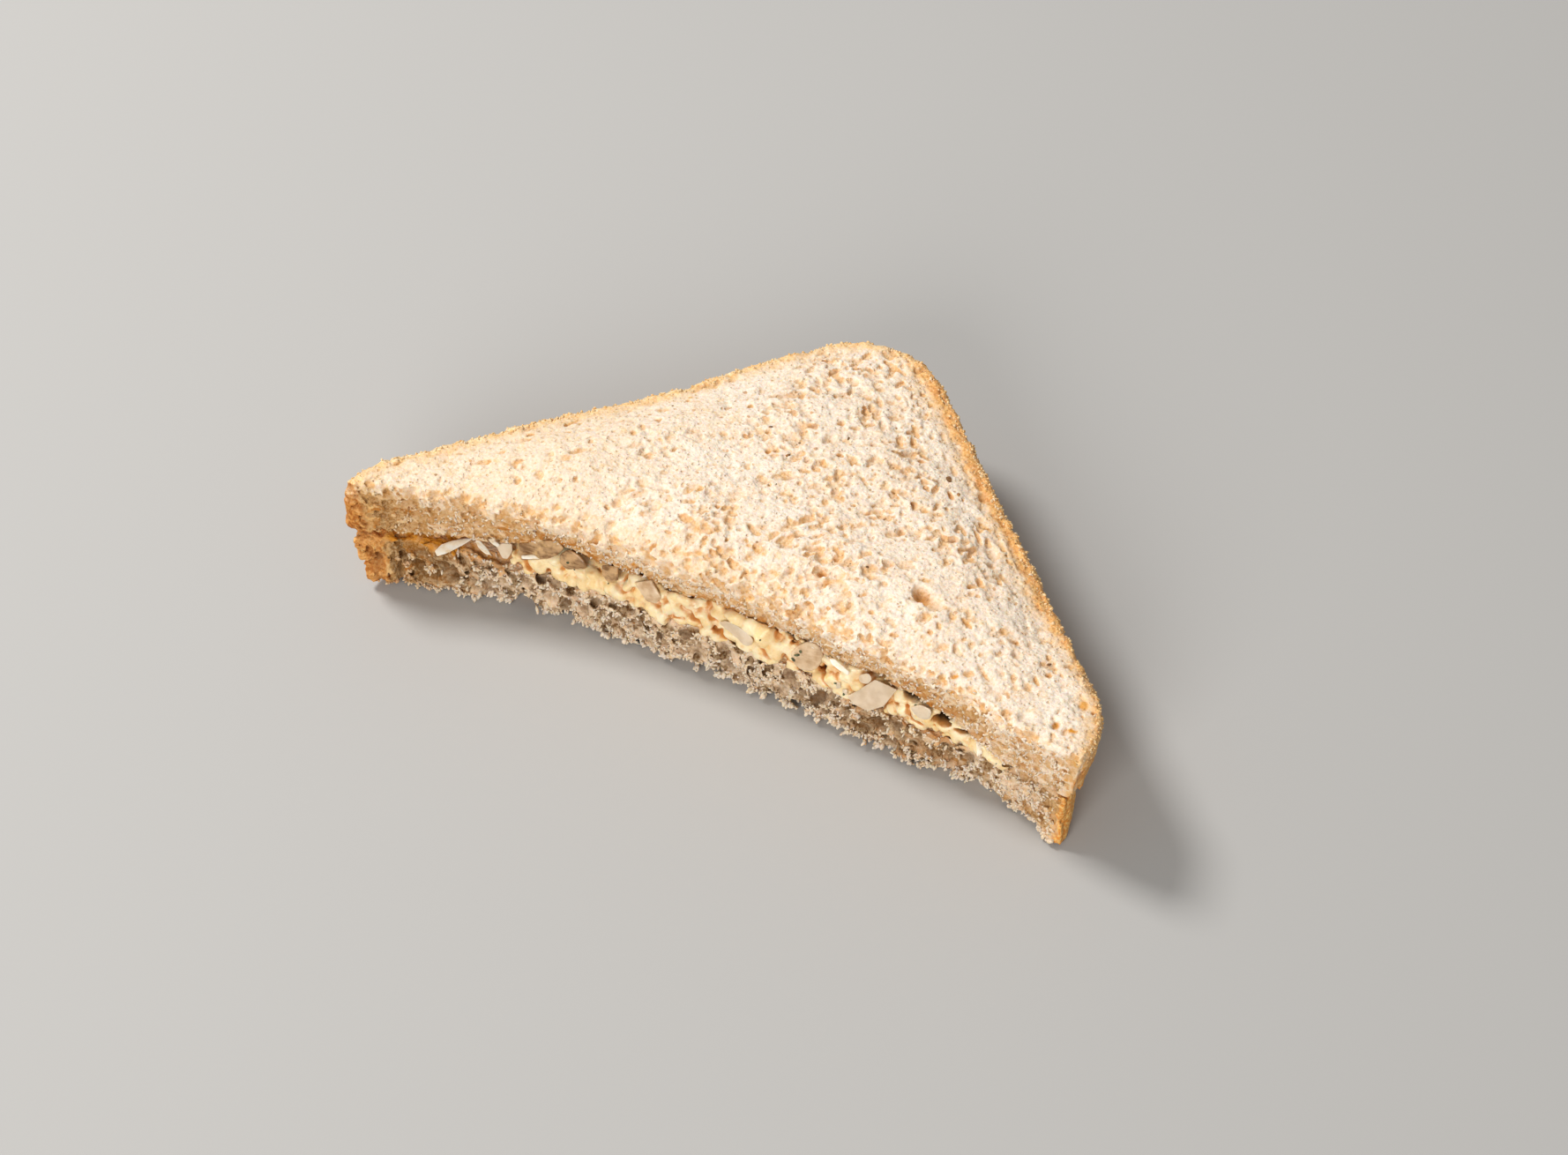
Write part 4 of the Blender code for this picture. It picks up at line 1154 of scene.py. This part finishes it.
# pieces darkened by the dressing, and those under the upper slice also with painted shade
STAINED_AND_SHADED_BITS = (
    (((587, 617), (600, 613), (633, 613), (640, 622), (632, 630), (620, 634), (590, 635)), 0.1, 2.4, (0.0, 0.1), 0),
    (((635, 628), (645, 623), (655, 628), (665, 638), (664, 646), (653, 645), (641, 646), (634, 637)), 0.0, 2.2, (0.0, 0.2), 1),
    (((897, 742), (904, 733), (915, 728), (926, 730), (933, 740), (931, 752), (922, 761), (909, 760), (900, 752)), -0.7, 3.0, (0.1, 0.2), 1),
    (((719, 661), (739, 658), (750, 677), (744, 684), (733, 682), (726, 671)), -0.6, 2.4, (0.1, 0.3), 0),
    (((683, 641), (701, 643), (701, 658), (690, 661), (683, 652)), -0.2, 2.0, (0.0, 0.3), 0),
)


def cut_through(lean):
    """The lean of a piece's face that the knife has cut nearly level with the rest of the cut."""
    return lean[0] * 0.5 - 0.50, lean[1] * 0.5 - 0.60


def make_room(field, outline, behind, thick, lean, soft):
    """Clears a field in front of a piece's face, within its outline."""
    lean = cut_through(lean)
    ring = np.array(outline, float)
    middle = ring.mean(0)
    flat = np.column_stack(((ring[:, 0] - middle[0]) * 0.162, -(ring[:, 1] - middle[1]) * 0.162))
    axes = facing(CAMERA_RIGHT, TOWARD)
    centre = on_cut(middle[0], middle[1], behind)
    reach = np.linalg.norm(flat, axis=1).max() + 3.5
    lo = np.maximum(((centre - reach - field.lo) / field.step).astype(int), 0)
    hi = np.minimum(((centre + reach - field.lo) / field.step).astype(int) + 1, field.data.shape)
    part = field.data[lo[0] : hi[0], lo[1] : hi[1], lo[2] : hi[2]]
    q = (field.lo + (np.argwhere(np.ones(part.shape, bool)) + lo) * field.step - centre) @ axes
    out = q[:, 2] + q[:, 0] * lean[0] + q[:, 1] * lean[1]
    off = from_line(q[:, :2], np.vstack((flat, flat[:1])))
    if from_line(np.zeros((1, 2)), np.vstack((flat, flat[:1])))[0] < 0:
        off = -off
    room = np.minimum(off - 0.15, out + 0.30)
    part[...] = np.maximum(part, room.reshape(part.shape).astype(np.float32))


def gap_at(x, inward=2.2):
    """The lowest and highest z between the slices a little behind the cut."""
    y = float(cut_line(x)) + inward
    zs = np.linspace(6, 22, 161)
    pts = np.column_stack((np.full(161, x), np.full(161, y), zs))
    low, high = solids["bread_bottom"].at(pts), solids["bread_top"].at(pts)
    bottom = zs[low < 0].max() if (low < 0).any() else 9.5
    top = zs[high < 0].min() if (high < 0).any() else 17.0
    return bottom, top


rng = np.random.default_rng(5)
lumps = []
for k in range(620):
    x = -44 + 103 * rng.random()
    bottom, top = gap_at(x)
    if top - bottom < 1.2:
        continue
    r = 0.5 + 1.0 * rng.random() ** 1.6
    reach = 0.62 if x < -20 else 1.0
    t = rng.random() * reach
    z = bottom + r * 0.5 + (top - bottom - 0.9 * r) * t
    y = float(cut_line(x)) + 2.4 - (1.0 + 0.7 * (1 - t)) * rng.random() * 1.1
    lumps.append((np.array((x, y, z)), (r * (0.9 + 0.7 * rng.random()), r, r * (0.7 + 0.3 * rng.random())), rng.random() * 0.6 - 0.3, 0.0))
MASH_LUMPS = [  # photo pixel across and down, half width and half height in pixels, how far behind the cut
    (599, 648, 10, 7, 0.9), (614, 645, 7, 6, 0.8), (634, 650, 9, 8, 0.8), (648, 658, 9, 7, 0.8), (662, 662, 9, 8, 0.7), (678, 664, 10, 8, 0.7),
    (692, 668, 9, 8, 0.6), (672, 653, 9, 6, 1.0), (711, 665, 6, 6, 0.9), (740, 690, 11, 9, 0.6), (751, 699, 9, 10, 0.4), (758, 689, 9, 8, 0.7), (735, 684, 6, 5, 0.8),
    (776, 683, 11, 6, 1.0), (770, 694, 8, 6, 0.8), (802, 706, 8, 8, 0.5), (816, 699, 15, 7, 0.8), (836, 703, 15, 8, 0.7), (852, 712, 13, 10, 0.5), (866, 721, 14, 13, 0.4),
    (879, 735, 11, 13, 0.4), (846, 731, 13, 9, 0.4), (816, 724, 13, 7, 0.4), (864, 744, 13, 8, 0.5), (799, 717, 6, 7, 0.6), (876, 749, 8, 6, 0.5),
    (931, 769, 10, 8, 0.5), (946, 772, 11, 9, 0.4), (961, 768, 10, 8, 0.6), (972, 777, 9, 7, 0.5), (914, 759, 8, 5, 0.5), (900, 758, 8, 5, 0.5), (960, 783, 7, 4, 0.4), (891, 733, 8, 8, 0.5), (904, 725, 9, 4, 0.7),
    (1011, 804, 9, 7, 0.5), (1025, 806, 10, 8, 0.4), (1040, 808, 11, 9, 0.4), (1053, 815, 9, 8, 0.5), (1033, 817, 9, 5, 0.4), (1062, 826, 6, 5, 0.6),
    (1096, 843, 5, 5, 0.6), (1110, 846, 5, 7, 0.6), (1129, 858, 8, 7, -1.0), (1138, 865, 8, 7, -1.2), (1132, 865, 7, 5, -1.1), (1124, 852, 6, 6, 0.5), (1150, 870, 6, 4, 0.6), (1075, 832, 6, 4, 0.7), (1083, 839, 6, 5, 0.6),
]
for u, v, a, c, off in MASH_LUMPS:
    off -= 0.35 if u < 800 else 0.1
    c, a = c * 0.19, a * 0.165
    q = on_cut(u, v, off)
    lumps.append((q + np.array((0, 0.45, 0)), (a, min(a, c) * 0.85 + 0.25, c), 0.0, -0.35))
carve(egg, lumps, add=True)
where, p = egg.points(np.abs(egg.data) < 1.2)
egg.data[tuple(where.T)] += (0.30 * noise(p, 1.7, 301) + 0.26 * noise(p, 0.95, 302)).astype(np.float32)
MASH_HOLLOWS = [  # photo pixel, half width and half height in pixels, depth
    (900, 723, 10, 3.2, 5.0), (1033, 791, 11, 4.5, 5.0), (1069, 817, 12, 3.2, 5.0), (1092, 830, 11, 2.8, 5.0), (1112, 837, 4, 4.5, 4.0), (1114, 852, 2.5, 6, 2.5),
    (665, 640, 4, 4, 3.5), (1016, 794, 4, 4, 2.2), (931, 738, 3.5, 6, 2.0), (835, 737, 6, 8, 2.2), (545, 628, 3, 7, 3.0), (583, 624, 2.5, 7, 2.4), (617, 651, 3, 5, 1.6), (574, 642, 3, 6, 2.4),
    (588, 642, 3, 5, 2.0), (1160, 872, 5, 5, 2.5), (788, 700, 6, 4, 2.0), (726, 690, 4, 4, 2.0), (700, 656, 2.5, 5, 2.2), (1006, 812, 7, 2.5, 1.6),
]
hollows = []
for u, v, a, c, deep in MASH_HOLLOWS:
    hollows.append((on_cut(u, v, 0.8), (a * 0.165, deep, c * 0.2), 0.0, 0.0))
carve(egg, hollows)
where, p = egg.points(egg.data < 1.5)
clear = np.minimum(solids["bread_bottom"].at(p), solids["bread_top"].at(p))
egg.data[tuple(where.T)] = np.maximum(egg.data[tuple(where.T)], 0.02 - clear)
for bit in WHITE_BITS + STAINED_AND_SHADED_BITS:
    make_room(egg, *bit)
verts, quads = skin(egg)
verts, quads = drop_specks(verts, quads, 200)
mesh = thin_out("egg_mash", verts, quads, 150000)
p = vertices_of(mesh)
# how far behind the cut the mash lies and how closed in it is, for its painted shade
attribute(mesh, "depth", np.clip(p[:, 1] - cut_line(p[:, 0]) - 0.8, 0, 5))
attribute(mesh, "cavity", closed_in(egg, mesh, p, 1.2) * (1 - 0.5 * smooth(46, 52, p[:, 0])))
# painted shadow inside the deep hollows
hollow_shadow = np.zeros(len(p))
for c, r, _, _ in hollows:
    if r[1] > 4:
        inside = 1 - smooth(1.0, 1.45, np.sqrt((((p - c) / (np.array(r) + 0.25)) ** 2).sum(1)))
        hollow_shadow = np.maximum(hollow_shadow, inside * smooth(0.2, 1.5, p[:, 1] - cut_line(p[:, 0]) - 0.5))
attribute(mesh, "hollow_shadow", hollow_shadow)
add_object("egg_mash", mesh, mash_material(), "egg_salad")

def slab(heap, outline, behind, thick, lean, soft, seed, bevel=0.22, dome=0.1):
    """A cut piece seated in the filling. Its face has that outline in photo pixels, lies that far behind the cut and
    leans that way from facing the camera; its edges are rounded off by the bevel."""
    ring = np.array(outline, float)
    for _ in range(soft):
        ring = np.concatenate([[a * 0.8 + b * 0.2, a * 0.2 + b * 0.8] for a, b in zip(ring, np.roll(ring, -1, 0))])
    gaps = np.linalg.norm(np.roll(ring, -1, 0) - ring, axis=1)
    along = np.concatenate(((0.0,), np.cumsum(gaps)))
    closed = np.vstack((ring, ring[:1]))
    n = max(24, int(along[-1] / 1.3))
    t = np.arange(n) / n * along[-1]
    ring = np.column_stack((np.interp(t, along, closed[:, 0]), np.interp(t, along, closed[:, 1])))
    ring = (ring * 2 + np.roll(ring, 1, 0) + np.roll(ring, -1, 0)) / 4
    middle = np.array(outline, float).mean(0)
    flat = np.column_stack(((ring[:, 0] - middle[0]) * 0.162, -(ring[:, 1] - middle[1]) * 0.162))
    axes = facing(CAMERA_RIGHT, TOWARD)
    reach = np.linalg.norm(flat, axis=1).mean()
    rows, depths = [], []
    for k, z in ((0.6, -thick), (0.12, -thick * 0.85), (0.0, -thick * 0.4), (0.0, -bevel), (bevel * 0.3, -bevel * 0.3), (bevel, 0.0)):
        rows.append(flat * (1 - k / reach))
        depths.append(np.full(n, z))
    for f in (0.2, 0.4, 0.6, 0.8):
        rows.append(flat * (1 - bevel / reach) * (1 - f))
        depths.append(np.full(n, dome * (1 - (1 - f) ** 2)))
    verts = np.concatenate([np.column_stack((r, z - r[:, 0] * lean[0] - r[:, 1] * lean[1])) for r, z in zip(rows, depths)])
    where = (verts + seed * 7.0).astype(np.float32)
    verts[:, 2] += 0.09 * noise(where, 1.6, 400 + seed)
    verts[:, :2] += 0.05 * np.column_stack([noise(where, 0.9, 420 + k) for k in (0, 1)])
    tip, back = len(verts), len(verts) + 1
    verts = np.vstack((verts, (0, 0, dome), (0, 0, -thick)))
    faces = []
    for r in range(len(rows) - 1):
        for k in range(n):
            a, b = r * n + k, r * n + (k + 1) % n
            faces += [(a, a + n, b + n), (a, b + n, b)]
    last = (len(rows) - 1) * n
    for k in range(n):
        faces += [(last + k, tip, last + (k + 1) % n), (back, k, (k + 1) % n)]
    faces = np.array(faces)
    v = verts @ axes.T + on_cut(middle[0], middle[1], behind)
    volume = np.einsum("ij,ij->i", v[faces[:, 0]] - v.mean(0), np.cross(v[faces[:, 1]] - v.mean(0), v[faces[:, 2]] - v.mean(0))).sum()
    heap.add(v, faces if volume > 0 else faces[:, ::-1])


white, stained_and_shaded, steeped_and_shaded = Heap(), Heap(), Heap()
for k, (outline, behind, thick, lean, soft) in enumerate(WHITE_BITS):
    slab(white, outline, behind, thick, cut_through(lean), soft, seed=k + 3, bevel=0.22 if thick > 1.5 else 0.12)
for k, (outline, behind, thick, lean, soft) in enumerate(STAINED_AND_SHADED_BITS):
    slab(stained_and_shaded if k in (2, 3) else steeped_and_shaded, outline, behind, thick, cut_through(lean), soft, seed=k + 23, bevel=0.35, dome=0.2)
mesh = white.mesh("egg_white_dice")
add_object("egg_white_dice", mesh, chunk_material("egg_white", (228, 207, 180), (212, 188, 158)), "egg_salad")
# the darker pieces: stained by the dressing, with painted shade for those under the upper slice
mesh = stained_and_shaded.mesh("stained_shaded_egg_white")
add_object("stained_shaded_egg_white", mesh, chunk_material("stained_shaded_egg_white", (224, 196, 160), (192, 156, 116), size=2.2, layers=0.2), "egg_salad")
mesh = steeped_and_shaded.mesh("steeped_shaded_egg_white")
add_object("steeped_shaded_egg_white", mesh, chunk_material("steeped_shaded_egg_white", (200, 160, 112), (128, 90, 50), size=1.9, layers=0.35), "egg_salad")


onion = Heap()
for k, (outline, behind, thick, lean) in enumerate((
    (((493, 625), (501, 617), (513, 613), (526, 611), (537, 610), (530, 615), (518, 622), (506, 628), (496, 631)), -0.3, 0.9, (0.0, 0.5)),
    (((591, 630), (603, 629), (616, 630), (628, 628), (629, 631), (616, 634), (602, 634), (592, 634)), -0.15, 0.7, (0.0, 0.0)),
    (((539, 612), (544, 613), (550, 619), (557, 629), (552, 629), (545, 624), (541, 619)), -0.2, 0.7, (0.0, 0.4)),
    (((553, 611), (558, 611), (567, 618), (564, 621), (557, 616)), -0.3, 0.5, (0.0, 0.3)),
    (((941, 748), (947, 748), (956, 756), (963, 762), (961, 766), (953, 761), (944, 754)), -0.5, 0.7, (0.0, 0.3)),
    (((1107, 843), (1113, 841), (1114, 854), (1108, 858)), -0.4, 0.6, (0.0, 0.2)),
)):
    slab(onion, outline, behind, thick, lean, 0, seed=k + 43, bevel=0.12, dome=0.06)
mesh = onion.mesh("onion_slivers")
add_object("onion_slivers", mesh, chunk_material("onion", (255, 244, 222), (238, 216, 180), size=1.5, weight=0.15, layers=0.7), "egg_salad")

filling = []
for name in ("egg_mash", "egg_white_dice", "stained_shaded_egg_white", "steeped_shaded_egg_white"):
    mesh = bpy.data.objects[name].data
    filling.append(BVHTree.FromPolygons(vertices_of(mesh).tolist(), [tuple(f.vertices) for f in mesh.polygons]))


def on_filling(u, v):
    """The place on the filling that is seen at a photo pixel, and the way it faces."""
    start, far = Vector(CAMERA_AT * 1000), Vector(on_cut(u, v, 0.0))
    hits = [tree.ray_cast(start, (far - start).normalized()) for tree in filling]
    hits = [hit for hit in hits if hit[0] is not None and hit[0].y < far.y + 6]
    if not hits:
        return on_cut(u, v, 0.3), TOWARD
    place, normal = min(hits, key=lambda hit: hit[3])[:2]
    return np.array(place), np.array(normal)


herb = Heap()
rng = np.random.default_rng(9)
for u, v, size in ((904, 743, 0.62), (908, 739, 0.36), (900, 748, 0.42), (644, 638, 0.32), (652, 646, 0.22), (948, 775, 0.3), (957, 787, 0.28), (1038, 800, 0.25), (690, 662, 0.2), (862, 726, 0.2), (1130, 866, 0.22)):
    place, normal = on_filling(u, v)
    pebble(herb, rng, place + normal * (0.05 + size * 0.10), (size, size * 0.8, size * 0.22), turn=facing(CAMERA_RIGHT + 0.5 * rng.normal(size=3), normal), base=MEDIUM, rough=0.45)
mesh = herb.mesh("herb_flecks")
add_object("herb_flecks", mesh, herb_material(), "egg_salad")

# flakes of bran bedded in the crumb
bran = {"bread_top": Heap(), "bread_bottom": Heap()}
rng = np.random.default_rng(17)
for node, many, spots in (
    ("bread_top", 20, ((-10.2, 7.4, 0.55), (9.8, 19.0, 0.6), (24.3, 11.3, 0.75), (17.4, 2.8, 0.5), (59.5, -21.6, 0.45), (14.4, 8.6, 0.5), (16.2, -18.0, 0.5), (2.4, -26.3, 0.45))),
    ("bread_bottom", 14, ()),
):
    field = carved[node]
    for x, y, size in spots:
        zs = np.linspace(33, 18, 151)
        d = field.at(np.column_stack((np.full(151, x), np.full(151, y), zs)))
        pebble(bran[node], rng, np.array((x, y, zs[np.argmax(d < 0)] - 0.02)), (size, size * 0.7, 0.16), turn=facing((1, rng.normal(), 0), (0.2 * rng.normal(), 0.2 * rng.normal(), 1)), base=MEDIUM, rough=0.4)
    mesh = crumb_meshes[node]
    v = vertices_of(mesh)
    normals = normals_of(mesh)
    if node == "bread_top":
        ok = np.flatnonzero((v[:, 2] > 19) & ((normals[:, 2] > 0.6) | (normals[:, 1] < -0.6)))
    else:
        ok = np.flatnonzero((v[:, 1] < cut_line(v[:, 0]) + 2.0) & (normals[:, 1] < -0.5))
    for i in ok[rng.integers(0, len(ok), many)]:
        size = 0.2 + 0.35 * rng.random() ** 2
        pebble(bran[node], rng, v[i] - normals[i] * 0.03, (size, size * 0.65, 0.12), turn=facing(np.cross(normals[i], rng.normal(size=3)), normals[i]), base=SMALL, rough=0.4)
bran_look = bran_material()
for node, heap in bran.items():
    add_object(node + "_bran", heap.mesh(node + "_bran"), bran_look, node)
say("small things")

# ---------------------------------------------------------------------------------------------------------------
# stage
# ---------------------------------------------------------------------------------------------------------------
floor_mesh = bpy.data.meshes.new("floor")
floor_mesh.from_pydata([(-3, -3, 0), (3, -3, 0), (3, 3, 0), (-3, 3, 0)], [], [(0, 1, 2, 3)])
floor = bpy.data.objects.new("floor", floor_mesh)
bpy.context.scene.collection.objects.link(floor)
floor.location = (0, 0, -0.0002)
f = Nodes("floor")
f.shader.inputs["Base Color"].default_value = (*srgb(181, 180, 178), 1)
f.shader.inputs["Roughness"].default_value = 0.7
floor_mesh.materials.append(f.material)


def area_light(name, toward, distance, size, power, colour=(1, 1, 1)):
    light = bpy.data.lights.new(name, "AREA")
    light.shape = "DISK"
    light.size = size
    light.energy = power
    light.color = colour
    obj = bpy.data.objects.new(name, light)
    bpy.context.scene.collection.objects.link(obj)
    d = Vector(toward).normalized()
    obj.location = d * distance
    obj.rotation_mode = "QUATERNION"
    obj.rotation_quaternion = d.to_track_quat("Z", "Y")
    return obj


# away from the camera is (-0.47, 0.88), its left is (-0.89, -0.46)
area_light("key", (-0.82, 0.10, 1.0), 1.2, 0.36, 11.2, (1.0, 0.985, 0.965))
area_light("fill", (0.10, -0.95, 0.45), 1.4, 0.7, 11.5, (1.0, 0.98, 0.955))
world = bpy.data.worlds.new("world")
bpy.context.scene.world = world
world.use_nodes = True
world.node_tree.nodes["Background"].inputs[0].default_value = (1.0, 0.975, 0.94, 1)
world.node_tree.nodes["Background"].inputs[1].default_value = 0.36

camera = bpy.data.objects.new("camera", bpy.data.cameras.new("camera"))
bpy.context.scene.collection.objects.link(camera)
camera.data.lens = 100.0
camera.data.sensor_width = 36.0
camera.data.sensor_fit = "HORIZONTAL"
camera.data.clip_start, camera.data.clip_end = 0.01, 20
rotation = Matrix((CAMERA_RIGHT, CAMERA_UP, CAMERA_BACK)).transposed().to_4x4()
camera.matrix_world = Matrix.Translation(CAMERA_AT) @ rotation
bpy.context.scene.camera = camera
bpy.context.scene.view_settings.view_transform = "Standard"

bpy.context.view_layer.update()
say("done")
